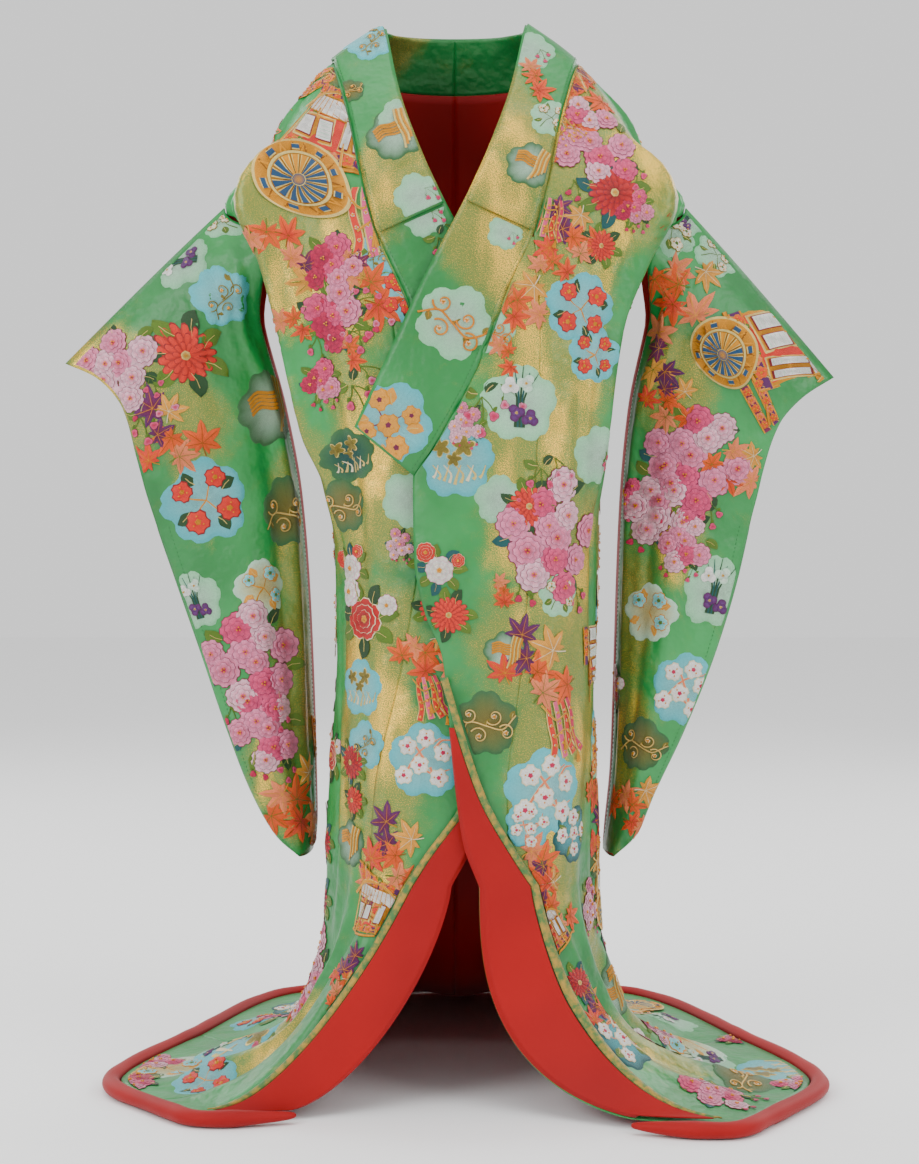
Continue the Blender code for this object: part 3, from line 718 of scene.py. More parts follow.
def lengths_along(points, axis):
    """Running length over the cloth along one way of its grid, for the cut's own map."""
    steps = np.linalg.norm(np.diff(points, axis=axis), axis=-1)
    start = np.zeros_like(np.take(steps, [0], axis=axis))
    return np.concatenate((start, np.cumsum(steps, axis=axis)), axis=axis)


def cut_of(points, middle):
    """The flat cut's coordinates: straight down the middle column, and out from it."""
    down = lengths_along(points, 0)
    across = lengths_along(points, 1)
    across = across - across[:, middle:middle + 1]
    down = 0.35 * down + 0.65 * down[:, middle:middle + 1]
    return np.stack((across, -down), axis=-1).reshape(-1, 2)


def rows_down(first, upper, lower):
    """Rows from the first one to the hem, closer together where the skirt bends."""
    rows = np.concatenate((np.linspace(0, 1, upper, endpoint=False),
                           1 + np.linspace(0, 1, lower) ** 0.85))
    inside = rows[(rows > first + ROW_STEP) & (rows < HEM_ROW - ROW_STEP)]
    return np.concatenate(([first], inside, [HEM_ROW]))


def columns_of(span, rows, columns):
    low, high = span(rows)
    share = np.linspace(0, 1, columns)
    return low[:, None] + (high - low)[:, None] * share[None, :]


# Where gold foil shows in the weave, as soft patches: angle, row, reach round and down, strength
GOLD = sided(
    ("angle", "row", "round", "down", "strength"),
    left=(
        (128, 0.10, 14, 0.10, 1.0),
        (150, 0.46, 22, 0.12, 1.0),
        (136, 0.70, 18, 0.12, 0.9),
        (148, 0.88, 14, 0.12, 0.9),
        (152, 0.10, 16, 0.10, 1.0),
        (138, 0.17, 12, 0.10, 0.8),
        (150, 0.30, 16, 0.09, 1.0),
        (140, 0.38, 12, 0.07, 0.7),
        (150, 0.56, 20, 0.09, 0.9),
        (128, 0.60, 14, 0.08, 0.7),
        (160, 0.72, 16, 0.08, 0.6),
        (120, 0.84, 12, 0.10, 0.7),
        (140, 0.98, 16, 0.09, 0.6),
        (104, 0.55, 9, 0.16, 0.8),
        (60, 0.20, 18, 0.12, 0.9),
        (30, 0.42, 16, 0.14, 0.9),
        (68, 0.62, 14, 0.12, 0.8),
        (22, 0.88, 16, 0.13, 0.8),
        (52, 1.25, 14, 0.20, 0.9),
        (92, 1.45, 12, 0.20, 0.8),
        (18, 1.60, 14, 0.16, 0.8),
        (128, 1.55, 12, 0.18, 0.8),
        (112, 1.15, 9, 0.15, 0.6),
    ),
    right=(
        (132, 0.16, 12, 0.10, 0.9),
        (150, 0.50, 18, 0.12, 1.0),
        (128, 0.72, 14, 0.10, 0.9),
        (150, 0.86, 16, 0.12, 0.9),
        (128, 0.24, 12, 0.09, 0.8),
        (150, 0.28, 14, 0.09, 1.0),
        (144, 0.42, 12, 0.07, 0.8),
        (112, 0.50, 14, 0.12, 0.9),
        (132, 0.60, 12, 0.06, 0.7),
        (150, 0.70, 18, 0.08, 0.6),
        (124, 0.88, 14, 0.12, 0.6),
        (146, 0.98, 16, 0.09, 0.7),
        (62, 0.18, 18, 0.12, 0.9),
        (34, 0.40, 16, 0.14, 0.9),
        (72, 0.58, 14, 0.12, 0.8),
        (26, 0.86, 16, 0.13, 0.8),
        (56, 1.28, 14, 0.20, 0.9),
        (98, 1.42, 12, 0.20, 0.8),
        (20, 1.58, 14, 0.16, 0.8),
        (132, 1.50, 12, 0.18, 0.8),
    ),
)
SLEEVE_GOLD = sided(
    ("face", "across", "down", "round", "reach", "strength"),
    right=(
        (1, 0.88, 0.10, 0.20, 0.12, 0.8),
        (1, 0.70, 0.24, 0.20, 0.10, 0.6),
        (1, 0.22, 0.52, 0.16, 0.14, 0.9),
        (1, 0.30, 0.72, 0.30, 0.12, 0.8),
        (1, 0.70, 0.86, 0.30, 0.12, 0.6),
        (-1, 0.40, 0.20, 0.30, 0.14, 0.8),
        (-1, 0.60, 0.52, 0.30, 0.14, 0.8),
        (-1, 0.40, 0.82, 0.30, 0.14, 0.8),
    ),
    left=(
        (1, 0.40, 0.24, 0.26, 0.10, 0.8),
        (1, 0.62, 0.42, 0.20, 0.12, 0.7),
        (1, 0.30, 0.62, 0.24, 0.10, 0.7),
        (1, 0.40, 0.80, 0.30, 0.10, 0.6),
        (-1, 0.50, 0.18, 0.30, 0.14, 0.8),
        (-1, 0.40, 0.50, 0.30, 0.14, 0.8),
        (-1, 0.50, 0.80, 0.30, 0.14, 0.8),
    ),
)
COLLAR_GOLD = sided(
    ("along", "reach", "strength"),
    left=((0.50, 0.12, 1.0), (0.30, 0.08, 0.9)),
    right=((0.36, 0.10, 0.9), (-0.5, 0.2, 0.7)),
)


def patches_over(patches, first, second, names):
    """Soft patches in two coordinates; the strongest shows. Names: both middles, both reaches."""
    total = np.zeros(np.broadcast(first, second).shape)
    for patch in patches:
        middle_a, middle_b, reach_a, reach_b = (patch[name] for name in names)
        away = ((first - middle_a) / reach_a) ** 2 + ((second - middle_b) / reach_b) ** 2
        total = np.maximum(total, patch["strength"] * np.exp(-1.2 * away ** 1.5))
    return total


def body_gold(side, angle, row):
    return patches_over(GOLD[side], angle, row, ("angle", "row", "round", "down"))


def sleeve_gold(side, face, across, down):
    patches = [patch for patch in SLEEVE_GOLD[side] if patch["face"] == face]
    return patches_over(patches, across, down, ("across", "down", "round", "reach"))


def collar_gold(side, along, across):
    total = np.zeros(np.broadcast(along, across).shape)
    for patch in COLLAR_GOLD[side]:
        away = np.abs((along + 0.08 * across - patch["along"]) / patch["reach"])
        total = np.maximum(total, patch["strength"] * np.exp(-away ** 3))
    return total


def seam_groove(share, width_share):
    """Cloth dips where it is sewn, at both edges of a panel."""
    near = np.minimum(share, 1 - share) / width_share
    return -np.exp(-near * near)


# Materials

class Value:
    """A shader number or colour; sums and products with it add Math nodes."""

    def __init__(self, maker, socket):
        self.maker = maker
        self.socket = socket

    def math(self, operation, *others):
        return self.maker.add("ShaderNodeMath", {"operation": operation}, [self, *others])

    def __add__(self, other):
        return self.math("ADD", other)

    __radd__ = __add__

    def __sub__(self, other):
        return self.math("SUBTRACT", other)

    def __rsub__(self, other):
        return self.maker.add("ShaderNodeMath", {"operation": "SUBTRACT"}, [other, self])

    def __mul__(self, other):
        return self.math("MULTIPLY", other)

    def highest(self, other):
        return self.math("MAXIMUM", other)

    def clamped(self):
        return self.maker.add("ShaderNodeClamp", {}, [self])

    def ramp(self, low, high):
        """0 at low, 1 at high, eased in between."""
        settings = {"interpolation_type": "SMOOTHSTEP"}
        return self.maker.add("ShaderNodeMapRange", settings, [self, low, high, 0.0, 1.0])


class Maker:
    """Builds one material's nodes."""

    def __init__(self, name):
        self.material = bpy.data.materials.new(name)
        self.material.use_nodes = True
        self.tree = self.material.node_tree
        self.shader = self.tree.nodes["Principled BSDF"]

    def add(self, kind, settings=None, values=None, output=0):
        node = self.tree.nodes.new(kind)
        for key, value in (settings or {}).items():
            setattr(node, key, value)
        pairs = values.items() if isinstance(values, dict) else enumerate(values or [])
        for key, value in pairs:
            self.feed(node.inputs[key], value)
        return Value(self, node.outputs[output])

    def feed(self, socket, value):
        if isinstance(value, Value):
            self.tree.links.new(value.socket, socket)
        else:
            socket.default_value = value

    def set(self, **values):
        for key, value in values.items():
            self.feed(self.shader.inputs[key.replace("_", " ")], value)

    def place(self):
        return self.add("ShaderNodeTexCoord", output="Object")

    def cut(self):
        return self.add("ShaderNodeUVMap", {"uv_map": "cut"})

    def attribute(self, name, output="Fac"):
        return self.add("ShaderNodeAttribute", {"attribute_name": name}, output=output)

    def scaled(self, vector, scale):
        return self.add("ShaderNodeMapping", {}, {"Vector": vector, "Scale": scale})

    def noise(self, vector, scale, detail=2.0, rough=0.5):
        values = {"Vector": vector, "Scale": scale, "Detail": detail, "Roughness": rough}
        return self.add("ShaderNodeTexNoise", {}, values)

    def waves(self, vector, scale, distortion=0.0, direction="X"):
        settings = {"wave_type": "BANDS", "bands_direction": direction, "wave_profile": "SIN"}
        return self.add("ShaderNodeTexWave", settings,
                        {"Vector": vector, "Scale": scale, "Distortion": distortion})

    def mix(self, share, first, second, blend="MIX"):
        node = self.tree.nodes.new("ShaderNodeMix")
        node.data_type = "RGBA"
        node.blend_type = blend
        self.feed(node.inputs["Factor"], share)
        for key, value in (("A", first), ("B", second)):
            socket = [s for s in node.inputs if s.name == key and s.type == "RGBA"][0]
            self.feed(socket, value if isinstance(value, Value) else (*value[:3], 1.0))
        return Value(self, [s for s in node.outputs if s.type == "RGBA"][0])

    def bump(self, height, distance, strength=1.0):
        values = {"Height": height, "Distance": distance, "Strength": strength}
        return self.add("ShaderNodeBump", {}, values)


def colour_of(red, green, blue):
    """Screen colour, 0 to 255, as linear light."""
    def linear(value):
        value /= 255
        return value / 12.92 if value <= 0.04045 else ((value + 0.055) / 1.055) ** 2.4
    return (linear(red), linear(green), linear(blue))


def brocade_material(name, green, deep, light, gold, weave_size):
    """Satin ground with broad light, fine weave, and gold foil that breaks into specks."""
    maker = Maker(name)
    place, cut = maker.place(), maker.cut()
    # Large noise between deep and mid green, and finer noise towards light green: painted broad shade and
    # shine on the satin, fixed in place.
    broad = maker.noise(place, 3.2, 2.0, 0.45).ramp(0.32, 0.70)
    soft = maker.noise(place, 14.0, 3.0, 0.5)
    ground = maker.mix(broad, deep, green)
    ground = maker.mix((soft - 0.42) * 1.1, ground, light)
    weft = maker.waves(maker.scaled(cut, (0.12, 1.0, 1.0)), 0.5 / weave_size, 1.4, "DIAGONAL")
    ground = maker.mix(weft * 0.14, ground, deep)
    foil = maker.attribute("gold")
    specks = maker.noise(cut, 760.0, 2.0, 0.70)
    patches = maker.noise(cut, 26.0, 4.0, 0.62)
    shown = (foil * 1.15 + (patches - 0.5) * 0.9).clamped()
    zone = shown.ramp(0.04, 0.60)
    # Painted glints: a fixed noise, stretched down the cloth, that lightens the foil's gold and thickens
    # its specks wherever it is high.
    glint = maker.noise(maker.scaled(place, (1.0, 1.0, 0.45)), 17.0, 2.0, 0.5).ramp(0.44, 0.66)
    mask = (specks + glint * 0.11 + shown * 0.03).ramp(0.57, 0.66) * zone
    olive = tuple(0.24 * v + 0.42 * g for v, g in zip(gold, green))
    # A lighter gold for the painted glints.
    glint_gold = (min(1.0, gold[0] * 1.55), min(1.0, gold[1] * 1.5), gold[2] * 1.3)
    ground = maker.mix(zone * 0.80, ground, olive)
    crumple = maker.noise(place, 22.0, 3.0, 0.5)
    # The foil's own gold, lighter where glints are painted.
    foil_and_glint_colour = maker.mix(glint, gold, glint_gold)
    maker.set(
        Base_Color=maker.mix(mask, ground, foil_and_glint_colour),
        Metallic=(zone * 0.25).highest(mask * 0.80),
        Roughness=(0.40 - zone * 0.08 + (soft - 0.5) * 0.12).clamped(),
        Specular_IOR_Level=0.50,
        Sheen_Weight=0.04,
        Sheen_Roughness=0.4,
    )
    height = weft * 0.35 + specks * mask * 0.8 + maker.noise(cut, 190.0, 2.0) * 0.4
    fine = maker.bump(height, 0.00035, 0.5)
    creased = {"Height": crumple, "Distance": 0.013, "Strength": 0.60, "Normal": fine}
    maker.set(Normal=maker.add("ShaderNodeBump", {}, creased))
    return maker.material


def lining_material(name, red, deep):
    """Plain red crepe: matt, finely pebbled, a little uneven."""
    maker = Maker(name)
    place = maker.place()
    broad = maker.noise(place, 5.0, 2.0, 0.5).ramp(0.30, 0.72)
    grain = maker.noise(place, 900.0, 2.0, 0.6)
    weft = maker.waves(place, 520.0, 2.0, "Z")
    colour = maker.mix(broad, deep, red)
    colour = maker.mix(grain * 0.16, colour, deep)
    maker.set(
        Base_Color=colour,
        Roughness=(0.60 + (grain - 0.5) * 0.12).clamped(),
        Specular_IOR_Level=0.22,
        Sheen_Weight=0.06,
        Sheen_Roughness=0.5,
        Normal=maker.bump(grain + weft * 0.3, 0.00025, 0.5),
    )
    return maker.material


def piping_material(name, gold, green):
    """The narrow folded edge: green and gold brocade seen on its bias."""
    maker = Maker(name)
    place = maker.place()
    worn = maker.noise(place, 95.0, 3.0, 0.6).ramp(0.36, 0.66)
    twill = maker.waves(place, 300.0, 1.0, "DIAGONAL")
    colour = maker.mix(worn, green, gold)
    colour = maker.mix(twill * 0.35, colour, tuple(value * 0.4 for value in gold))
    maker.set(
        Base_Color=colour,
        Metallic=worn * 0.45,
        Roughness=(0.42 + twill * 0.12).clamped(),
        Sheen_Weight=0.15,
        Normal=maker.bump(twill, 0.0004, 0.7),
    )
    return maker.material


def silk_material(name):
    """Embroidery silk: its colour from the shape's own thread, and fine parallel stitches."""
    maker = Maker(name)
    stitch = maker.add("ShaderNodeUVMap", {"uv_map": "stitch"})
    place = maker.place()
    tint = maker.attribute("tint", "Color")
    metal = maker.attribute("metal")
    threads = maker.waves(stitch, 310.0, 1.2)
    slub = maker.noise(place, 420.0, 2.0, 0.6)
    # Darker between the stitch lines: painted shade in the grooves between threads, mixed with the slubs'
    # own uneven tone.
    shade = (threads * 0.55 + slub * 0.45).ramp(0.15, 0.85)
    between = maker.mix(1.0, tint, (0.52, 0.50, 0.50), "MULTIPLY")
    maker.set(
        Base_Color=maker.mix(shade, between, tint),
        Metallic=metal,
        Roughness=(0.44 - metal * 0.12 + slub * 0.12).clamped(),
        Specular_IOR_Level=0.35,
        Sheen_Weight=0.06,
        Normal=maker.bump(threads * 0.8 + slub * 0.5, 0.0006, 0.8),
    )
    return maker.material


def thread_material(name, tint, metallic, roughness):
    """A single twisted thread."""
    maker = Maker(name)
    twist = maker.noise(maker.place(), 900.0, 2.0, 0.5)
    colour = maker.mix(twist, tuple(0.55 * v for v in tint), tint)
    maker.set(Base_Color=colour, Metallic=metallic, Roughness=(roughness + twist * 0.15).clamped(),
              Normal=maker.bump(twist, 0.0002, 0.6))
    return maker.material


# Embroidery: raised shapes drawn flat in millimetres, x to the viewer's right and y up

THREADS = {name: colour_of(*screen) for name, *screen in (
    ("blush", 248, 200, 214),
    ("pink_pale", 246, 150, 184),
    ("pink", 238, 84, 134),
    ("pink_deep", 212, 20, 80),
    ("rose_dark", 128, 20, 62),
    ("white", 244, 242, 236),
    ("cream", 240, 226, 184),
    ("red", 214, 24, 22),
    ("red_dark", 140, 12, 22),
    ("coral", 236, 50, 30),
    ("orange", 240, 88, 12),
    ("salmon", 244, 132, 84),
    ("ochre", 236, 160, 50),
    ("purple", 92, 22, 92),
    ("plum", 120, 16, 70),
    ("violet", 112, 66, 150),
    ("olive", 88, 122, 20),
    ("leaf_dark", 28, 70, 28),
    ("teal", 8, 84, 84),
    ("blue", 14, 72, 112),
    ("turquoise", 84, 194, 204),
    ("aqua", 150, 222, 224),
    ("mint", 150, 216, 168),
    ("mint_pale", 196, 234, 206),
    ("moss", 58, 110, 62),
    ("olive_gold", 140, 126, 52),
    ("pale_gold", 232, 206, 124),
    ("gold", 226, 152, 36),
    ("gold_dark", 150, 92, 20),
)}
METAL_THREADS = {"pale_gold": 0.75, "gold": 0.70, "gold_dark": 0.6, "olive_gold": 0.6}
GROUND_LIFT = 0.0019
LAYER_LIFT = 0.0005
SUNK_LIFT = 0.0005
GOLDEN_ANGLE = 137.5
CLUSTER_SCALE = 1.37


def turned(points, degrees):
    turn = math.radians(degrees)
    cosine, sine = math.cos(turn), math.sin(turn)
    return np.asarray(points, float) @ np.array(((cosine, sine), (-sine, cosine)))


class Motif:
    """Satin-stitched shapes, in millimetres around their own middle."""

    def __init__(self):
        self.shapes = []
        self.knots = []

    def add(self, points, lifts, faces, runs, tints, metals):
        self.shapes.append({"points": points, "lifts": lifts, "faces": faces,
                            "runs": runs, "tints": tints, "metals": metals})

    def star(self, outline, inner, outer, edge=None, level=0, rings=(0.45, 0.88, 1.0), valley_shade=0.0):
        """A shape filled from its middle outwards, edged with another thread, with painted shade between
        petals.
        """
        outline = np.asarray(outline, float)
        count = len(outline)
        rings = np.array(rings)
        points = np.vstack((np.zeros((1, 2)), (rings[:, None, None] * outline).reshape(-1, 2)))
        lifts = np.full(len(points), GROUND_LIFT + level * LAYER_LIFT)
        lifts[:1 + count] += 0.4 * LAYER_LIFT
        lifts[-count:] = lifts[-1] - 1.2 * LAYER_LIFT if level else SUNK_LIFT
        spoke = np.arange(count)
        after = (spoke + 1) % count
        step = 2 * np.pi * np.linalg.norm(outline, axis=1).mean() / count
        faces = [np.stack((0 * spoke, 1 + spoke, 1 + after), -1)]
        runs = [np.stack((spoke + 0.5, spoke, spoke + 1), -1)]
        for low in range(1, 1 + (len(rings) - 1) * count, count):
            high = low + count
            faces.append(np.stack((low + spoke, high + spoke, high + after), -1))
            faces.append(np.stack((low + spoke, high + after, low + after), -1))
            runs.append(np.stack((spoke, spoke, spoke + 1), -1))
            runs.append(np.stack((spoke, spoke + 1, spoke + 1), -1))
        faces = np.vstack(faces)
        share = np.concatenate(([0.0], np.repeat(rings, count)))
        share = np.clip(share / rings[-2], 0, 1)[:, None] ** 1.3
        first, last = np.array(THREADS[inner]), np.array(THREADS[outer])
        # Painted shade: a point is darker the further its outline dips in between petals.
        reach = np.linalg.norm(outline, axis=1)
        dips = np.clip((1 - reach / reach.max()) * valley_shade, 0, 0.55)
        shade = np.concatenate(([1.0], np.tile(1 - dips, len(rings))))
        tints = ((first + (last - first) * share) * shade[:, None])[faces]
        metals = np.full(len(faces), METAL_THREADS.get(outer, 0.0))
        if edge:
            tints[-2 * count:] = THREADS[edge]
            metals[-2 * count:] = METAL_THREADS.get(edge, 0.0)
        self.add(points, lifts, faces, np.vstack(runs) * step, tints, metals)

    def strip(self, path, half, fill, edge=None, level=1):
        """A band along a path, raised in its middle, whose threads run across it."""
        path = np.asarray(path, float)
        ahead = np.gradient(path, axis=0)
        ahead /= np.maximum(np.linalg.norm(ahead, axis=1, keepdims=True), 1e-9)
        left = np.stack((-ahead[:, 1], ahead[:, 0]), axis=-1)
        half = np.broadcast_to(np.asarray(half, float), (len(path),))
        offsets = np.array((-1.0, -0.7, 0.7, 1.0) if edge else (-1.0, 0.0, 1.0))
        points = path[:, None, :] + left[:, None, :] * (half[:, None] * offsets)[..., None]
        lifts = GROUND_LIFT + level * LAYER_LIFT - 1.2 * LAYER_LIFT * (np.abs(offsets) > 0.9)
        lifts = np.tile(lifts, len(path))
        quads = grid_faces(len(path), len(offsets))[:, [0, 3, 2, 1]]
        faces = np.vstack((quads[:, [0, 1, 2]], quads[:, [0, 2, 3]]))
        run = np.concatenate(([0], np.cumsum(np.linalg.norm(np.diff(path, axis=0), axis=1))))
        runs = np.repeat(run, len(offsets))[faces]
        tints = np.tile(THREADS[fill], (len(faces), 3, 1)).astype(float)
        metals = np.full(len(faces), METAL_THREADS.get(fill, 0.0))
        if edge:
            column = (faces % len(offsets)).min(axis=1)
            outer = (column == 0) | (column == len(offsets) - 2)
            tints[outer] = THREADS[edge]
            metals[outer] = METAL_THREADS.get(edge, 0.0)
        self.add(points.reshape(-1, 2), lifts, faces, runs, tints, metals)

    def put(self, other, x=0.0, y=0.0, turn=0.0, size=1.0, level=0):
        """Add another motif's shapes here, moved, turned and scaled."""
        for shape in other.shapes:
            placed = dict(shape)
            placed["points"] = turned(shape["points"], turn) * size + (x, y)
            placed["lifts"] = shape["lifts"] + level * LAYER_LIFT
            self.shapes.append(placed)
        for knot in other.knots:
            at = turned(knot[:2], turn) * size + (x, y)
            self.knots.append((at[0], at[1], knot[2] + level))
        return self


def petals(radius, count, depth, power=0.5, notch=0.0, turn=0.0, spokes_each=8):
    """A flower's outline: round petals, each with a notch at its tip."""
    angle = 2 * np.pi * np.arange(count * spokes_each) / (count * spokes_each)
    wave = np.abs(np.cos(count * angle / 2))
    reach = 1 - depth + depth * wave ** power - notch * np.exp(-(1 - wave) / 0.02)
    angle = angle + math.radians(turn)
    return radius * reach[:, None] * np.stack((np.cos(angle), np.sin(angle)), axis=-1)


def curve(points, count=14):
    """A smooth path through a few points."""
    points = np.asarray(points, float)
    at = np.linspace(0, len(points) - 1, count)
    table = Table(("key", "x", "y"), *[(i, x, y) for i, (x, y) in enumerate(points)])
    return np.stack((table.at("x", at), table.at("y", at)), axis=-1)


def arc(radius, start, end, x=0.0, y=0.0, count=14):
    angle = np.radians(np.linspace(start, end, count))
    return np.stack((x + radius * np.cos(angle), y + radius * np.sin(angle)), axis=-1)


def box(motif, corners, fill, edge=None, level=0):
    """A four-sided panel, with points along its sides, given by its corners in turn."""
    corners = np.asarray(corners, float)
    middle = corners.mean(axis=0)
    share = np.linspace(0, 1, 5, endpoint=False)[:, None]
    sides = [a + (b - a) * share for a, b in zip(corners, np.roll(corners, -1, axis=0))]
    panel = Motif()
    panel.star(np.vstack(sides) - middle, fill, fill, edge, level)
    motif.put(panel, *middle)


def ringed(tint, tip, edge, *rings):
    """Rings of petals over each other: radius, count, depth, notch, turn, samples, rings, painted shade
    between petals.
    """
    made = Motif()
    for level, (radius, count, depth, notch, turn, samples, inner, valley_shade) in enumerate(rings, 1):
        outline = petals(radius, count, depth, 0.6, notch, turn, samples)
        made.star(outline, tint, tip, edge, level, inner, valley_shade)
    return made


WIDE = (0.5, 0.95, 1.0)
NARROW = (0.5, 0.94, 1.0)


def double_blossom(tint, middle, edge):
    made = ringed(
        tint, middle, edge,
        (18.0, 9, 0.26, 0.05, 0, 5, WIDE, 2.2),
        (13.2, 7, 0.30, 0.06, 25, 5, WIDE[1:], 2.0),
        (8.2, 5, 0.40, 0.06, 8, 5, NARROW[1:], 1.5),
    )
    made.star(petals(3.0, 5, 0.30, 0.5, 0.0, 30, 3), "rose_dark", tint, None, 4, (0.6, 1.0))
    made.knots.extend([(1.6, 0.7, 5), (-1.4, 1.1, 5), (0.1, -1.7, 5)])
    return made


def blossom(tint, tip, middle="gold", edge=None, radius=10.0):
    made = Motif()
    made.star(petals(radius, 5, 0.52, 0.5, 0.10, 90, 5), tint, tip, edge, 2, (0.88, 1.0))
    made.star(petals(0.30 * radius, 5, 0.3, 0.5, 0, 54, 2), middle, middle, None, 3, (0.6, 1.0))
    for k in range(3):
        x, y = turned((0.42 * radius, 0), 120 * k + 54)
        made.knots.append((x, y, 3))
    return made


def chrysanthemum(tint, tip, edge):
    made = ringed(
        tint, tip, edge,
        (26.0, 17, 0.20, 0.0, 0, 4, WIDE, 2.6),
        (19.0, 14, 0.22, 0.0, 9, 4, WIDE, 2.4),
        (12.0, 10, 0.28, 0.0, 4, 4, NARROW, 1.8),
    )
    made.star(petals(4.6, 6, 0.3, 0.5, 0.0, 0, 3), "gold", "pale_gold", None, 4)
    return made


def peony(tint, tip, edge):
    made = ringed(
        tint, tip, edge,
        (22.0, 7, 0.24, 0.06, 10, 5, WIDE, 2.2),
        (16.0, 6, 0.28, 0.08, 34, 5, WIDE, 2.0),
        (10.0, 5, 0.34, 0.08, 5, 5, NARROW, 1.6),
    )
    made.star(petals(4.4, 5, 0.4, 0.5, 0.0, 40, 5), "gold", "ochre", None, 4)
    made.knots.extend([(2.0, 0.4, 5), (-1.8, 0.9, 5), (0.2, -2.1, 5)])
    return made


MAPLE_LOBES = ((0, 1.00), (10, 0.76), (25, 0.46), (37, 0.70), (49, 0.98), (60, 0.72), (74, 0.44),
               (86, 0.60), (98, 0.80), (110, 0.54), (122, 0.34), (134, 0.42), (146, 0.50),
               (158, 0.26), (180, 0.14))


def maple(tint, tip, vein, radius=27.0):
    """Seven pointed lobes on a short stem, with a vein to each."""
    half = [(90 - angle, reach) for angle, reach in MAPLE_LOBES]
    other = [(90 + angle, reach) for angle, reach in MAPLE_LOBES[1:-1]]
    rows = np.array(sorted(half + other))
    angle = np.radians(rows[:, 0])
    outline = radius * rows[:, 1:] * np.stack((np.cos(angle), np.sin(angle)), axis=-1)
    made = Motif()
    made.star(outline, tint, tip, tip, 1, (0.35, 0.94, 1.0))
    for lobe, reach in ((0, 0.86), (49, 0.78), (-49, 0.78), (97, 0.58), (-97, 0.58)):
        end = turned((0, radius * reach), lobe)
        made.strip(np.linspace((0, 0), end, 4), (0.6, 0.5, 0.4, 0.2), vein, None, 2)
    made.strip(curve(((0, -1), (0.06 * radius, -0.25 * radius), (0.16 * radius, -0.5 * radius)), 5),
               0.6, vein, None, 2)
    return made


def leaf(length, width, tint, vein="pale_gold", bend=0.12):
    made = Motif()
    share = np.linspace(0, 1, 7)
    path = np.stack((length * share, bend * length * np.sin(np.pi * share)), axis=-1)
    made.strip(path, 0.2 + width * np.sin(np.pi * share ** 0.85) ** 0.8, tint, None, 1)
    made.strip(path[:-1:2], 0.35, vein, None, 2)
    return made


def bud_spray(count, tint, stem="olive"):
    """Hanging heart-shaped buds on fine stems."""
    made = Motif()
    for k in range(count):
        lean = (k - (count - 1) / 2) * 40
        end = turned((0, -15 - 9 * (k % 2)), lean)
        made.strip(curve(((0, 0), end * 0.5 + (1.5, 0), end), 6), 0.55, stem, None, 1)
        bud = Motif()
        bud.star(petals(4.4, 3, 0.26, 0.7, 0, 90, 4), "pink_deep", tint, "rose_dark", 2)
        made.put(bud, end[0], end[1] - 3.0, lean)
        made.put(leaf(5, 1.6, "olive", "olive"), end[0], end[1], 60)
    return made


def wheel(radius):
    """A gold cart wheel with blue spokes and a ring of blue inlays."""
    made = Motif()
    made.star(petals(radius, 12, 0.0), "gold_dark", "gold", "pale_gold", 1, (0.3, 0.62, 0.94, 1.0))
    for k in range(36):
        inner = turned((0.70 * radius, 0), 10 * k)
        outer = turned((0.90 * radius, 0), 10 * k + (6 if k % 2 else -6))
        made.strip((inner, outer), 0.7, "gold" if k % 3 else "gold_dark", None, 2)
    made.strip(arc(0.66 * radius, 0, 360, count=41), 0.9, "pale_gold", None, 3)
    for k in range(16):
        tint = "blue" if k not in (4, 5, 6) else "gold"
        inner = turned((0.16 * radius, 0), 22.5 * k)
        outer = turned((0.60 * radius, 0), 22.5 * k)
        made.strip((inner, (inner + outer) / 2, outer), (0.7, 1.8, 2.9), tint, "pale_gold", 3)
    for k in range(8):
        spot = turned((0.79 * radius, 0), 45 * k + 20)
        side = turned((0, 2.7), 45 * k + 20)
        made.strip((spot - side, spot, spot + side), 2.2, "blue", "pale_gold", 3)
    made.star(petals(0.17 * radius, 8, 0.1, 0.5, 0, 0, 3), "gold", "blue", "pale_gold", 4)
    return made


def window(width, height, columns):
    """White blinds behind red frames, between gold bars."""
    made = Motif()
    x, y = width / 2, height / 2
    box(made, ((-x, -y), (x, -y), (x, y), (-x, y)), "gold", "pale_gold", 1)
    pane = width / columns
    for k in range(columns):
        low = -x + pane * k + 1.8
        high = low + pane - 3.6
        box(made, ((low, 3 - y), (high, 3 - y), (high, y - 3), (low, y - 3)), "white", "red_dark", 3)
        for line in np.linspace(6 - y, y - 6, 5):
            made.strip(((low + 1.6, line), (high - 1.6, line)), 0.3, "mint_pale", None, 4)
    return made


def roof(width, height):
    """White tiles under a gold net."""
    made = Motif()
    x, y = width / 2, height / 2
    box(made, ((-x, -y), (x, -y), (0.86 * x, y), (-0.86 * x, y)), "white", "gold", 2)
    for line in np.linspace(-0.86, 0.86, max(4, int(width / 6))):
        made.strip(((line * x, -y), (0.86 * line * x, y)), 0.5, "gold", None, 3)
    for line in np.linspace(-0.6, 0.6, max(2, int(height / 6))):
        reach = x * (0.93 - 0.07 * line)
        made.strip(((-reach, line * y), (0, line * y), (reach, line * y)), 0.5, "gold", None, 3)
    return made


def flower_band(length, width, field="purple"):
    """A band of small flowers between gold borders."""
    made = Motif()
    made.strip(np.linspace((-length / 2, 0), (length / 2, 0), 8), width / 2, field, "gold", 1)
    for k, x in enumerate(np.arange(-length / 2 + 7, length / 2 - 4, 11.0)):
        made.put(blossom("coral", "salmon" if k % 2 else "orange", "gold", "gold", 5.6), x, 0, 40 * k)
        made.put(leaf(6, 2, "olive"), x + 4, 2 - 4 * (k % 2), 30)
    return made


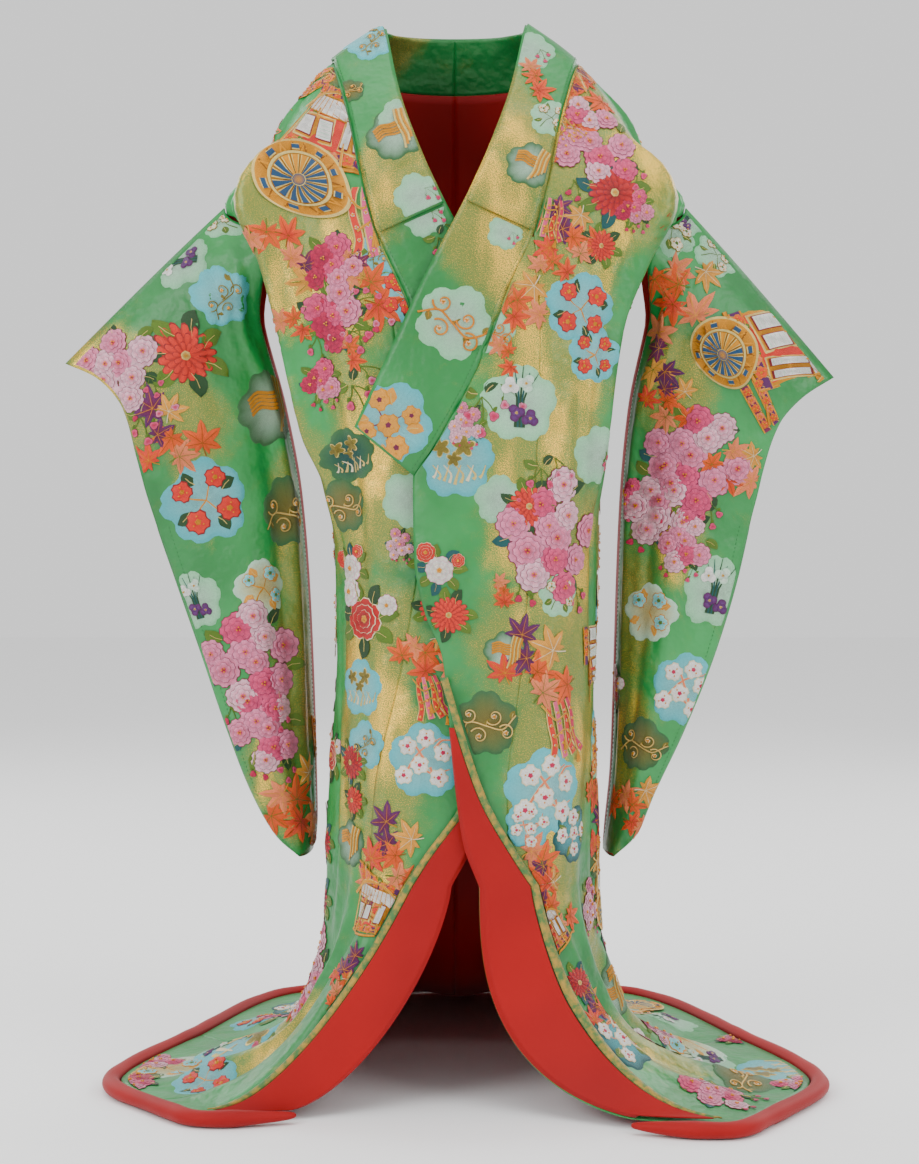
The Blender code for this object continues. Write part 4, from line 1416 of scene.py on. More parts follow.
def cart(fragment=False):
    """An ox-drawn carriage as on formal robes: wheel, windows, roof and flowered bands."""
    made = Motif()
    box(made, ((-34, 2), (34, 2), (30, 44), (-30, 44)), "coral", "gold", 0)
    made.put(flower_band(66, 10), 0, 8)
    made.put(window(34, 24, 2), -12, 27, 4, 1.0)
    made.put(window(20, 32, 2), 20, 28, -8, 1.0)
    made.put(roof(70, 16), 0, 48, 0)
    made.put(flower_band(64, 9, "purple"), 0, 61, 0)
    made.strip(curve(((-38, 40), (-20, 57), (0, 62), (20, 57), (38, 40))), 1.4, "gold", "pale_gold", 4)
    made.strip(curve(((-36, 2), (0, -1), (36, 2), (58, -6))), 1.8, "gold", "gold_dark", 2)
    for x in (-31, -15, 15, 31):
        made.strip(((x, 2), (x * 0.94, 44)), 1.1, "gold", "pale_gold", 4)
    if not fragment:
        made.put(wheel(30), -8, -16, 10, 1.0, 3)
    return made


def draped_ribbons():
    """Pink ribbons that hang in folds, with gold cords knotted over them."""
    made = Motif()
    ribbons = ((-10, -8, "coral"), (-2, 2, "pink"), (7, 9, "coral"), (14, 16, "pink_deep"))
    for k, (x, lean, tint) in enumerate(ribbons):
        path = curve(((x, 30), (x + lean * 0.3, 8), (x + lean * 0.2, -12), (x + lean, -32)), 12)
        made.strip(path, np.linspace(3.0, 5.4, 12), tint, "pale_gold", 1 + k % 2)
        for step in range(2, 11, 2):
            made.put(blossom("pink_pale", "white", "gold", None, 1.9), *path[step], 20 * step, 1.0, 1)
    made.strip(curve(((-18, 30), (-4, 10), (10, 14), (16, -8), (22, -30)), 18), 1.1, "gold", "pale_gold", 4)
    made.strip(curve(((-12, -8), (4, -2), (14, -14), (6, -22), (2, -10)), 18), 1.0, "gold", "pale_gold", 4)
    for x, y in ((22, -32), (2, -12)):
        tassel = [(x - 3, y - 12), (x, y - 13), (x + 3, y - 12)]
        for end in tassel:
            made.strip(((x, y), end), (0.8, 1.2), "gold", None, 4)
    return made


def gold_waves():
    """Combed gold bars in two directions, as of ropes or water."""
    made = Motif()
    for k in range(5):
        y = 3.4 * k
        path = curve(((-20, y), (-10, y + 3), (0, y - 1), (9, y - 2)), 9)
        made.strip(path, 1.35, "gold", None, 3 + k % 2)
    for k in range(6):
        x = 8 + 2.7 * k
        path = curve(((x + 4, 26 - k), (x, 10), (x - 1, -6), (x - 6 + k, -22 + 3 * k)), 9)
        made.strip(path, 1.3, "gold" if k % 2 else "pale_gold", None, 4 + k % 2)
    return made


def scrolls(tint="gold", edge="orange"):
    """A vine of thin couched cord, which curls to both sides of a waving stem."""
    made = Motif()
    made.strip(curve(((-30, -10), (-15, 2), (0, -2), (15, -6), (30, 8)), 18), 0.9, tint, edge, 2)
    turns = np.linspace(0, 1, 20)
    for x, y, way, facing in ((-17, 9, 1, 200), (-7, -12, -1, 150), (8, 7, 1, 215), (20, -9, -1, 140)):
        angle = np.radians(facing + way * 400 * turns)
        out = 9.0 * (1 - 0.82 * turns)
        curl = np.stack((x + out * np.cos(angle), y + out * np.sin(angle)), axis=-1)
        made.strip(curl, 0.9 - 0.3 * turns, tint, edge, 3)
        made.put(blossom(edge, "cream", "gold", None, 2.8), x, y, 0, 1.0, 1)
    for k, (x, y) in enumerate(((-24, -4), (0, -3), (14, -5), (26, 4))):
        made.put(leaf(9, 3.2, "olive_gold", tint), x, y, 70 if k % 2 else -60)
    return made


def sakura_patch(inner, outer, radius=34.0, edge=None):
    """A patch in the shape of a five-petalled flower, which holds other motifs."""
    made = Motif()
    made.star(petals(radius, 5, 0.30, 0.5, 0.07, 90, 9), inner, outer, edge, 0,
              (0.3, 0.6, 0.82, 0.94, 1.0))
    return made


def irises():
    made = Motif()
    for k, lean in enumerate((-26, -12, 2, 14, 28)):
        end = turned((0, 30 + 3 * (k % 3)), -lean)
        path = curve(((lean * 0.12, -20), end * 0.2 + (0, -4), end * 0.9), 10)
        made.strip(path, 1.6 * np.linspace(1, 0.15, 10), "teal" if k % 2 else "leaf_dark", None, 2)
    for x, y, tint, tip in ((-9, 14, "white", "white"), (4, 17, "white", "mint_pale"),
                            (-3, -8, "violet", "purple"), (9, -12, "violet", "purple")):
        flower = Motif()
        edge = "purple" if tint == "violet" else None
        flower.star(petals(8, 3, 0.62, 0.7, 0.04, -90, 10), tint, tip, edge, 3)
        flower.star(petals(5, 3, 0.55, 0.7, 0.0, 90, 7), tint, tip, None, 4)
        flower.star(petals(1.6, 3, 0.3, 0.6, 0, 90, 4), "gold", "pale_gold", None, 5)
        made.put(flower, x, y, 6 * x)
    return made


def stars_and_pine():
    """Gold star flowers over pale pine strokes."""
    made = Motif()
    for x, y, size in ((-12, 12, 1.0), (7, 13, 1.15), (-1, 2, 0.8)):
        flower = Motif()
        flower.star(petals(9, 5, 0.5, 1.3, 0, 90, 6), "olive_gold", "olive_gold", "pale_gold", 2)
        made.put(flower, x, y, 10 * x, size)
    for k in range(9):
        x = -20 + 5 * k
        made.strip(curve(((x, -20 + abs(x) * 0.3), (x + 2, -12), (x + 5 - 10 * (k % 2), -3)), 6),
                   np.linspace(1.5, 0.4, 6), "pale_gold" if k % 3 else "cream", None, 2)
    return made


def coral_branches(tint="salmon", tip="cream"):
    made = Motif()
    for start, end, bend in (((-22, -18), (16, 22), 8), ((-6, -4), (24, -8), -6), ((0, 2), (-22, 18), 6),
                             ((10, 12), (26, 20), 4), ((6, -6), (14, -24), -4)):
        middle = (np.add(start, end)) / 2 + (0, bend)
        made.strip(curve((start, middle, end), 9), np.linspace(1.6, 0.6, 9), tint, tip, 1)
    return made


def spread_of(count, reach, draw):
    """Places in a loose round cluster, the middle one first."""
    for k in range(count):
        angle = GOLDEN_ANGLE * k + draw.uniform(-14, 14)
        out = reach * math.sqrt(k / max(count - 1, 1)) * draw.uniform(0.9, 1.06)
        x, y = turned((out, 0), angle)
        yield k, x, y


def cherry_cluster(draw, tints, count=8, reach=36):
    """Double cherry blossoms over leaves, with buds hanging below."""
    group = []
    for k in range(6):
        x, y = turned((reach * 0.82, 0), 60 * k + draw.uniform(-15, 15))
        tint = ("olive", "leaf_dark", "olive", "teal")[k % 4]
        group.append((leaf(20, 6.4, tint), x, y, 60 * k + draw.uniform(-30, 30), 1.0))
    for k, x, y in spread_of(count, reach, draw):
        tint, tip = tints[k % len(tints)]
        turn, size = draw.uniform(0, 360), draw.uniform(0.86, 1.08)
        group.append((double_blossom(tint, tip, "rose_dark"), x, y, turn, size))
    group.append((bud_spray(3, "pink"), 0.5 * reach, -0.9 * reach, draw.uniform(-20, 20), 0.9))
    group.append((bud_spray(2, "pink_deep"), -0.7 * reach, -0.8 * reach, draw.uniform(-20, 20), 0.9))
    return group


def maple_cluster(draw, tints, count=6, reach=36):
    group = []
    for k, x, y in spread_of(count, reach, draw):
        tint, tip, vein = tints[k % len(tints)]
        turn, size = draw.uniform(-150, 150), draw.uniform(0.82, 1.12)
        group.append((maple(tint, tip, vein), x, y, turn, size))
    return group


def flower_group(draw, main, second, leaf_tint="leaf_dark"):
    """One or two large flowers with their leaves and small buds."""
    group = []
    for k in range(7):
        x, y = turned((17, 0), 52 * k + draw.uniform(-8, 8))
        turn = 52 * k + draw.uniform(-20, 20)
        group.append((leaf(22, 7.6, ("olive", leaf_tint)[k % 2]), x, y, turn, 1.0))
    group.append((main, 0, 0, draw.uniform(0, 360), 1.0))
    if second is not None:
        group.append((second, -20, 26, draw.uniform(0, 360), 0.72))
        group.append((second, 26, 14, draw.uniform(0, 360), 0.5))
    return group


def stacked(*motifs):
    """Motifs one over the other, upright and at their own size."""
    return [(motif, 0, 0, 0, 1.0) for motif in motifs]


def blooms_on(draw, ground, blooms, stem, leaves="teal"):
    """Small flowers on forked stems over a patch."""
    content = Motif()
    for end, bend in (((-20, 16), -4), ((14, 20), 4), ((20, -12), -5), ((-14, -20), 4)):
        content.strip(curve(((0, 0), (end[0] * 0.5, end[1] * 0.5 + bend), end), 8), 0.9, stem, None, 1)
    group = stacked(ground, content)
    for k in range(4):
        x, y = turned((21, 0), 90 * k + 20)
        group.append((leaf(13, 4.6, leaves), x * 0.7, y * 0.7, 90 * k + 30, 1.0))
    places = ((-15, 12), (11, 15), (16, -9), (-10, -14), (1, 0), (-22, -2))
    for k, (x, y) in enumerate(places[:len(blooms)]):
        tint, tip, middle, edge = blooms[k]
        turn, size = draw.uniform(0, 72), draw.uniform(0.85, 1.1)
        group.append((blossom(tint, tip, middle, edge, 9.6), x, y, turn, size))
    return group


PINKS = (("pink_deep", "pink_pale"), ("pink", "pink_pale"), ("pink_deep", "pink"), ("pink", "blush"))
DEEP_PINKS = (("pink_deep", "pink"), ("rose_dark", "pink_deep"), ("pink_deep", "pink_pale"))
PALE_PINKS = (("pink_deep", "pink_pale"), ("pink", "blush"), ("pink", "blush"))
ORANGES = (("orange", "orange", "olive"), ("salmon", "salmon", "ochre"), ("coral", "orange", "gold_dark"),
           ("ochre", "ochre", "cream"))
AUTUMN = (("orange", "orange", "gold_dark"), ("plum", "purple", "gold"), ("salmon", "salmon", "olive"),
          ("ochre", "ochre", "cream"), ("orange", "coral", "gold"))
PURPLES = (("purple", "plum", "gold"), ("salmon", "salmon", "gold"), ("ochre", "ochre", "olive"))
RED_BLOOMS = (("red", "coral", "gold", "red_dark"),) * 4
GOLD_BLOOMS = (("ochre", "ochre", "plum", "gold"),) * 5
WHITE_BLOOMS = (("white", "white", "pink_deep", "cream"),) * 5
TURQUOISE_BLOOMS = (("turquoise", "aqua", "olive", "gold"),) * 3
CREAM_BLOOMS = (("white", "cream", "olive", "olive_gold"),) * 3


def mint_patch():
    return sakura_patch("mint_pale", "mint")


def aqua_patch(radius=34.0):
    return sakura_patch("aqua", "turquoise", radius)


def white_blossoms():
    places = ((-16, 14), (2, 22), (18, 8), (-4, -4), (14, -16), (-20, -14))
    return [(blossom("white", "white", "pink_deep", "cream", 10), x, y, 30 * k, 1.0)
            for k, (x, y) in enumerate(places)]


# What each named cluster is made of; each takes the generator that varies it
CLUSTERS = {
    "cherries": lambda draw: cherry_cluster(draw, PINKS),
    "cherries_large": lambda draw: cherry_cluster(draw, PINKS, 12, 50),
    "cherries_deep": lambda draw: cherry_cluster(draw, DEEP_PINKS, 6, 27),
    "cherries_pale": lambda draw: cherry_cluster(draw, PALE_PINKS, 8, 38),
    "maples": lambda draw: maple_cluster(draw, ORANGES),
    "maples_few": lambda draw: maple_cluster(draw, ORANGES, 3, 26),
    "maples_autumn": lambda draw: maple_cluster(draw, AUTUMN, 7, 42),
    "maples_purple": lambda draw: maple_cluster(draw, PURPLES, 3, 24),
    "cart": lambda draw: stacked(cart()),
    "cart_top": lambda draw: stacked(cart(True)),
    "windows": lambda draw: [
        (window(38, 30, 2), 0, 0, 0, 1.0),
        (flower_band(44, 10), 0, -22, 0, 1.0),
        (roof(46, 14), 0, 23, 0, 1.0),
    ],
    "flower_bands": lambda draw: [
        (flower_band(60, 11), 0, 8, 0, 1.0),
        (flower_band(60, 11, "plum"), 2, -7, 0, 1.0),
    ],
    "ribbons": lambda draw: stacked(draped_ribbons()),
    "mum_red": lambda draw: flower_group(draw, chrysanthemum("coral", "coral", "red_dark"), None),
    "mum_deep": lambda draw: flower_group(
        draw, chrysanthemum("red_dark", "red", "rose_dark"), None, "teal"),
    "peony": lambda draw: flower_group(
        draw, peony("red_dark", "red", "cream"), peony("cream", "white", "pink_pale")),
    "peony_white": lambda draw: flower_group(
        draw, peony("cream", "white", "pink_pale"), peony("red", "coral", "cream"), "teal"),
    "waves": lambda draw: stacked(sakura_patch("mint_pale", "moss"), gold_waves()),
    "scrolls": lambda draw: stacked(mint_patch(), scrolls()),
    "scrolls_moss": lambda draw: stacked(
        sakura_patch("olive_gold", "moss"), scrolls("pale_gold", "gold")),
    "iris": lambda draw: stacked(mint_patch(), irises()),
    "stars": lambda draw: stacked(aqua_patch(), stars_and_pine()),
    "pine": lambda draw: stacked(sakura_patch("teal", "moss"), stars_and_pine()),
    "plain_mint": lambda draw: [*stacked(mint_patch()), (bud_spray(3, "pink"), 12, 6, 30, 0.8)],
    "plain_aqua": lambda draw: [
        *stacked(aqua_patch()), (scrolls("olive_gold", "pale_gold"), 0, 0, 40, 0.8)],
    "magnolia": lambda draw: blooms_on(draw, mint_patch(), CREAM_BLOOMS, "olive", "olive"),
    "coral": lambda draw: stacked(aqua_patch(38), coral_branches()) + white_blossoms(),
    "red_blooms": lambda draw: blooms_on(draw, aqua_patch(), RED_BLOOMS, "gold", "leaf_dark"),
    "gold_blooms": lambda draw: blooms_on(draw, aqua_patch(), GOLD_BLOOMS, "plum", "ochre"),
    "white_blooms": lambda draw: blooms_on(
        draw, sakura_patch("turquoise", "teal"), WHITE_BLOOMS, "salmon", "olive"),
    "aqua_blooms": lambda draw: blooms_on(
        draw, sakura_patch("pale_gold", "mint_pale"), TURQUOISE_BLOOMS, "gold", "ochre"),
    "buds": lambda draw: [
        (bud_spray(3, "pink"), 0, 0, 0, 1.0),
        (bud_spray(2, "pink_pale"), 14, 10, 30, 0.9),
        (leaf(14, 4.4, "olive"), -3, 2, 160, 1.0),
        (leaf(12, 4.0, "leaf_dark"), 3, 3, 40, 1.0),
    ],
}


# Where the cloth takes embroidery, and how the front view sees it

CAMERA_DISTANCE = 3.2
EYE_HEIGHT = 0.783
FOCAL_PIXELS = 2461.0
LEVEL_X = 455.0
LEVEL_Y = 480.0


def seen_at(points):
    """Where the front view sees these points, in pixels."""
    scale = FOCAL_PIXELS / (CAMERA_DISTANCE + points[..., 1])
    return LEVEL_X + scale * points[..., 0], LEVEL_Y - scale * (points[..., 2] - EYE_HEIGHT)


class Ground:
    """A cloth surface in two coordinates; the second runs down the piece."""

    def __init__(self, form, limits, steps, outward, front):
        self.form, self.limits, self.steps = form, limits, steps
        self.outward, self.front = outward, front

    def find(self, across, down):
        """The place on this ground that the front view shows at a pixel."""
        if not hasattr(self, "samples"):
            (low_a, high_a), (low_b, high_b) = self.front
            a, b = np.meshgrid(np.linspace(low_a, high_a, 160), np.linspace(low_b, high_b, 260))
            a, b = a.ravel(), b.ravel()
            inside_a, inside_b = self.limits(a, b, a)
            kept = (inside_a == a) & (inside_b == b)
            a, b = a[kept], b[kept]
            self.samples = (a, b, *seen_at(self.form(a, b, 0.0)))
        a, b, x, y = self.samples
        nearest = np.argmin((x - across) ** 2 + (y - down) ** 2)
        return a[nearest], b[nearest]

    def ways(self, a, b):
        """Change of both coordinates for a metre to the viewer's right, and a metre up."""
        step_a, step_b = self.steps
        along_a = (self.form(a + step_a, b, 0.0) - self.form(a - step_a, b, 0.0)) / (2 * step_a)
        along_b = (self.form(a, b + step_b, 0.0) - self.form(a, b - step_b, 0.0)) / (2 * step_b)
        normal = np.cross(along_a, along_b) * self.outward
        normal /= np.linalg.norm(normal, axis=-1, keepdims=True)
        up = -along_b / np.linalg.norm(along_b, axis=-1, keepdims=True)
        right = np.cross(up, normal)
        aa, bb = (along_a ** 2).sum(-1), (along_b ** 2).sum(-1)
        ab = (along_a * along_b).sum(-1)
        matrix = np.empty((*np.shape(aa), 2, 2))
        for column, way in enumerate((right, up)):
            on_a, on_b = (along_a * way).sum(-1), (along_b * way).sum(-1)
            matrix[..., 0, column] = (bb * on_a - ab * on_b) / (aa * bb - ab * ab)
            matrix[..., 1, column] = (aa * on_b - ab * on_a) / (aa * bb - ab * ab)
        return matrix

    def moved(self, a, b, offsets):
        """Places offset by millimetres to the viewer's right and up."""
        change = np.einsum("nij,nj->ni", self.ways(a, b), offsets * 0.001)
        return a + change[:, 0], b + change[:, 1]


EMBROIDERY_MARGIN = 0.004
BEYOND_FRONT = 400.0
OVER_END = (YOKE_TOP - OVER_COLLAR_END) / (YOKE_TOP - COLLAR_END)


def body_ground(side):
    def limits(a, b, centre):
        b = np.clip(b, 0.012, 1.985)
        turned_back = np.where(b > row_of(TURN_TOP[side]), turned_angle(side, b), BEYOND_FRONT)
        free = np.minimum(edge_angle(side, b), turned_back)
        high = inset(side, free, b, -EMBROIDERY_MARGIN)
        slit = side_angle(b)
        open_here = slit > 90.5
        low = np.where(open_here & (centre > 90), slit + 0.8, 0.3)
        high = np.where(open_here & (centre <= 90), 180.0 - slit - 0.8, high)
        a = np.clip(a, low, high)
        collar = np.where(a < 90, row_of(collar_seam_back(a)) + 0.006, 0.012)
        return a, np.maximum(b, collar)

    def form(a, b, lift):
        return body(side, a, b, lift)

    return Ground(form, limits, (0.4, 0.004), SIDES[side], ((92.0, 186.0), (0.02, 1.98)))


def sleeve_ground(side, face):
    def limits(a, b, centre):
        return np.clip(a, 0.012, 0.985), np.clip(b, 0.012, 0.985)

    def form(a, b, lift):
        return sleeve_surface(side, face, a, b, lift)

    return Ground(form, limits, (0.01, 0.006), -SIDES[side] * face, ((0.02, 0.98), (0.02, 0.98)))


def collar_ground(side, over):
    extra = OVER_COLLAR_LIFT if over else 0.0

    def limits(a, b, centre):
        low, high = (-0.995, OVER_END - 0.004) if over else (OVER_END + 0.006, 0.994)
        return np.clip(a, 0.03, 0.97), np.clip(b, low, high)

    def form(a, b, lift):
        return collar_surface(side, b, a, lift + extra)

    low = 0.0 if over else OVER_END
    return Ground(form, limits, (0.02, 0.004), SIDES[side], ((0.04, 0.96), (low, 0.99)))


GROUNDS = {}
for part in ("back", "body"):
    for side in ("left", "right"):
        GROUNDS[f"{part}_{side}"] = body_ground(side)
for part, face in (("sleeve_front", 1), ("sleeve_back", -1)):
    for side in ("left", "right"):
        GROUNDS[f"{part}_{side}"] = sleeve_ground(side, face)
for part, over in (("collar", False), ("over_collar", True)):
    for side in ("left", "right"):
        GROUNDS[f"{part}_{side}"] = collar_ground(side, over)


def seen(*rows):
    """Named rows of clusters: one without a turn stands upright."""
    return named_rows(("cluster", "x", "y", "size", "turn"), *((*row, 0) for row in rows))


# The embroidery that the front view shows: its middle in the view's pixels
SEEN = {
    "body_right": seen(
        ("flower_bands", 318, 84, 1.1, 44),
        ("cart", 318, 168, 1.30, 12),
        ("ribbons", 368, 222, 1.1, -4),
        ("maples_few", 372, 285, 0.9),
        ("maples_few", 268, 232, 0.8, 40),
        ("scrolls_moss", 350, 60, 0.6),
        ("cherries_deep", 333, 262, 0.8),
        ("cherries_deep", 334, 318, 0.85, 80),
        ("maples_purple", 306, 268, 0.7),
        ("plain_aqua", 408, 240, 0.7),
        ("red_blooms", 404, 292, 0.8, -20),
        ("buds", 356, 318, 1.0),
        ("buds", 318, 335, 0.9),
        ("cherries_deep", 322, 378, 0.55),
        ("buds", 352, 388, 1.1, 20),
        ("pine", 352, 455, 0.8),
        ("scrolls_moss", 345, 505, 0.8),
        ("plain_mint", 408, 500, 0.8, 40),
        ("peony", 366, 618, 0.95),
        ("peony_white", 352, 566, 0.62, 30),
        ("peony_white", 430, 560, 0.60, -20),
        ("mum_red", 436, 608, 0.62),
        ("stars", 362, 690, 0.82),
        ("maples", 425, 650, 0.72),
        ("ribbons", 428, 700, 0.62, 10),
        ("coral", 424, 758, 0.95),
        ("mum_deep", 352, 765, 0.62),
        ("plain_aqua", 366, 745, 0.7),
        ("mum_red", 354, 800, 0.5),
        ("maples_autumn", 396, 855, 0.78),
        ("maples_purple", 372, 895, 0.7),
        ("cart_top", 362, 935, 0.72, 12),
        ("stars", 250, 1032, 1.5),
        ("cherries_pale", 312, 1002, 0.60),
        ("aqua_blooms", 168, 1070, 1.35),
        ("cherries", 146, 1052, 0.70),
        ("cherries_deep", 112, 1086, 0.80),
        ("iris", 215, 1052, 0.62, 30),
        ("buds", 268, 1050, 1.1),
        ("maples_few", 296, 316, 0.55, 20),
        ("maples_purple", 358, 262, 0.55),
        ("cherries_pale", 400, 545, 0.30),
        ("maples_few", 350, 350, 0.5),
        ("waves", 350, 845, 0.7),
        ("maples_few", 285, 985, 0.8),
        ("red_blooms", 205, 1082, 1.0),
        ("scrolls_moss", 128, 1066, 1.0),
        ("maples_autumn", 345, 980, 0.55),
    ),
    "body_left": seen(
        ("maples_autumn", 560, 92, 0.95),
        ("maples", 520, 128, 0.62, 60),
        ("cherries_large", 588, 142, 0.82),
        ("mum_deep", 614, 190, 0.92),
        ("maples_autumn", 572, 236, 0.72, 30),
        ("cherries_deep", 632, 205, 0.5, 30),
        ("maples", 516, 300, 0.72),
        ("red_blooms", 580, 312, 1.02),
        ("maples_few", 552, 262, 0.66, 80),
        ("scrolls", 478, 330, 0.62),
        ("buds", 482, 400, 1.2),
        ("cherries_pale", 466, 425, 0.40),
        ("iris", 520, 402, 1.08),
        ("stars", 455, 460, 1.05),
        ("plain_mint", 596, 455, 0.85),
        ("cherries_large", 556, 535, 0.98),
        ("mum_red", 528, 503, 0.72),
        ("peony_white", 440, 572, 0.62),
        ("mum_red", 448, 612, 0.66),
        ("magnolia", 560, 596, 0.66),
        ("maples_autumn", 536, 672, 0.90),
        ("windows", 587, 640, 0.80, -84),
        ("cart_top", 588, 668, 0.55, -78),
        ("ribbons", 560, 728, 0.85, 14),
        ("scrolls_moss", 486, 722, 0.92),
        ("coral", 548, 790, 1.12),
        ("white_blooms", 572, 832, 0.82, 40),
        ("coral", 530, 822, 0.62, 60),
        ("maples_few", 540, 862, 0.82),
        ("maples_autumn", 550, 905, 0.72),
        ("cart_top", 560, 950, 0.62, 20),
        ("mum_deep", 578, 985, 0.55),
        ("white_blooms", 622, 1040, 1.1),
        ("waves", 612, 1000, 0.75),
        ("aqua_blooms", 682, 1022, 1.3),
        ("cherries_pale", 668, 1003, 0.45),
        ("iris", 706, 1060, 0.85),
        ("cherries", 716, 1090, 0.75),
        ("cherries_deep", 735, 1035, 0.50),
        ("stars", 775, 1072, 1.4),
        ("cherries", 815, 1092, 0.60),
        ("maples_few", 548, 108, 0.75),
        ("maples", 538, 62, 0.55),
        ("maples_purple", 524, 92, 0.5),
        ("ribbons", 562, 130, 0.6, 20),
        ("mum_red", 600, 245, 0.55),
        ("ribbons", 548, 218, 0.6),
        ("red_blooms", 594, 352, 0.8),
        ("maples_few", 508, 350, 0.5),
        ("buds", 540, 465, 1.0),
        ("plain_mint", 500, 500, 0.7),
        ("maples_few", 505, 592, 0.45),
        ("waves", 506, 655, 0.62),
        ("gold_blooms", 596, 740, 0.8),
        ("maples", 590, 782, 0.6),
        ("scrolls_moss", 596, 860, 0.8),
        ("cherries_pale", 590, 905, 0.5),
        ("peony", 652, 1055, 0.9),
        ("scrolls_moss", 742, 1080, 1.0),
        ("maples_autumn", 602, 1010, 0.55),
    ),
    "sleeve_front_right": seen(
        ("magnolia", 248, 178, 0.7, 30),
        ("iris", 182, 262, 0.9, 40),
        ("plain_aqua", 224, 298, 0.86),
        ("cherries_pale", 118, 362, 0.92),
        ("mum_red", 187, 356, 1.08),
        ("waves", 272, 408, 1.12),
        ("buds", 140, 415, 1.0),
        ("maples_autumn", 172, 438, 0.82),
        ("red_blooms", 206, 500, 1.28),
        ("scrolls_moss", 288, 512, 1.05),
        ("iris", 196, 602, 0.85),
        ("aqua_blooms", 263, 588, 0.86),
        ("cherries_large", 256, 662, 0.95),
        ("cherries", 268, 728, 0.92),
        ("cart_top", 312, 738, 0.62, -80),
        ("maples", 296, 800, 0.95),
        ("maples_few", 312, 838, 0.62),
    ),
    "sleeve_front_left": seen(
        ("magnolia", 650, 188, 0.85),
        ("iris", 645, 168, 0.6),
        ("maples", 678, 285, 0.90),
        ("magnolia", 716, 256, 0.72),
        ("maples_purple", 660, 348, 0.85),
        ("cart", 742, 356, 1.22, -30),
        ("flower_bands", 760, 405, 0.8, -35),
        ("maples_autumn", 668, 400, 0.66),
        ("cherries_large", 690, 455, 0.92),
        ("cherries_pale", 660, 500, 0.90),
        ("maples", 735, 462, 0.70),
        ("cherries", 685, 540, 0.66),
        ("cherries_deep", 628, 495, 0.5),
        ("aqua_blooms", 650, 612, 0.88),
        ("iris", 714, 592, 1.02),
        ("coral", 684, 690, 0.98),
        ("peony", 620, 690, 0.60),
        ("maples", 632, 805, 0.72),
        ("scrolls_moss", 640, 745, 0.8),
    ),
    "over_collar_right": seen(
        ("plain_aqua", 372, 42, 0.72, 10),
        ("waves", 395, 135, 0.86, 12),
        ("plain_mint", 400, 118, 0.66, 10),
        ("plain_mint", 418, 196, 0.70),
        ("scrolls_moss", 350, 92, 0.45),
    ),
    "collar_right": seen(
        ("plain_mint", 424, 215, 0.62),
        ("buds", 438, 238, 0.8),
    ),
    "over_collar_left": seen(
        ("plain_mint", 530, 52, 0.7),
        ("maples_few", 536, 78, 0.62),
        ("magnolia", 552, 118, 0.62),
        ("waves", 530, 165, 0.7),
    ),
    "collar_left": seen(
        ("scrolls", 454, 322, 1.08, -12),
        ("gold_blooms", 388, 424, 1.22, -6),
        ("plain_mint", 505, 232, 0.5),
    ),
}

HIDDEN_ORDER = (
    "cherries_large", "maples_autumn", "red_blooms", "cart", "maples", "mum_red", "iris", "cherries",
    "peony", "waves", "coral", "ribbons", "cherries_large", "stars", "mum_deep", "gold_blooms",
    "maples", "scrolls", "peony_white", "white_blooms",
)


def scattered(across, down, first, size=1.0):
    """Clusters in staggered rows, for the back and the sides, which the front view doesn't show."""
    rows = []
    for i, level in enumerate(down):
        for k, place in enumerate(across):
            moved = place + 0.5 * (across[1] - across[0]) * (i % 2)
            name = HIDDEN_ORDER[(first + 3 * len(rows)) % len(HIDDEN_ORDER)]
            rows.append({"cluster": name, "across": moved, "size": size, "turn": 0.0,
                         "down": level + 0.012 * ((5 * k + 3 * i) % 4 - 1.5)})
    return rows


BACK_ROWS = np.arange(0.10, 1.08, 0.118)
TRAIN_ROWS = (1.16, 1.33, 1.50, 1.67, 1.84)
SLEEVE_ROWS = np.arange(0.10, 0.96, 0.115)
HIDDEN = {}
for number, side in enumerate(SIDES):
    HIDDEN[f"back_{side}"] = (
        scattered((14.0, 42.0, 70.0), BACK_ROWS, 7 * number, 0.92)
        + scattered((10.0, 31.0, 52.0, 73.0), TRAIN_ROWS, 5 + 4 * number, 0.95)
        + scattered((92.0, 106.0), (0.62, 0.84, 1.06, 1.28), 2 + 9 * number, 0.7)[::2]
        + scattered((89.0, 99.0), (0.10, 0.26, 0.42, 0.55, 0.70, 0.95, 1.16), 4 + 7 * number, 0.62)[::2]
    )
    HIDDEN[f"sleeve_back_{side}"] = scattered((0.28, 0.68), SLEEVE_ROWS, 11 + 5 * number, 0.8)
    HIDDEN[f"over_collar_{side}"] = scattered((0.5, 0.5), (-0.30, -0.62), 1 + 5 * number, 0.6)[::2]


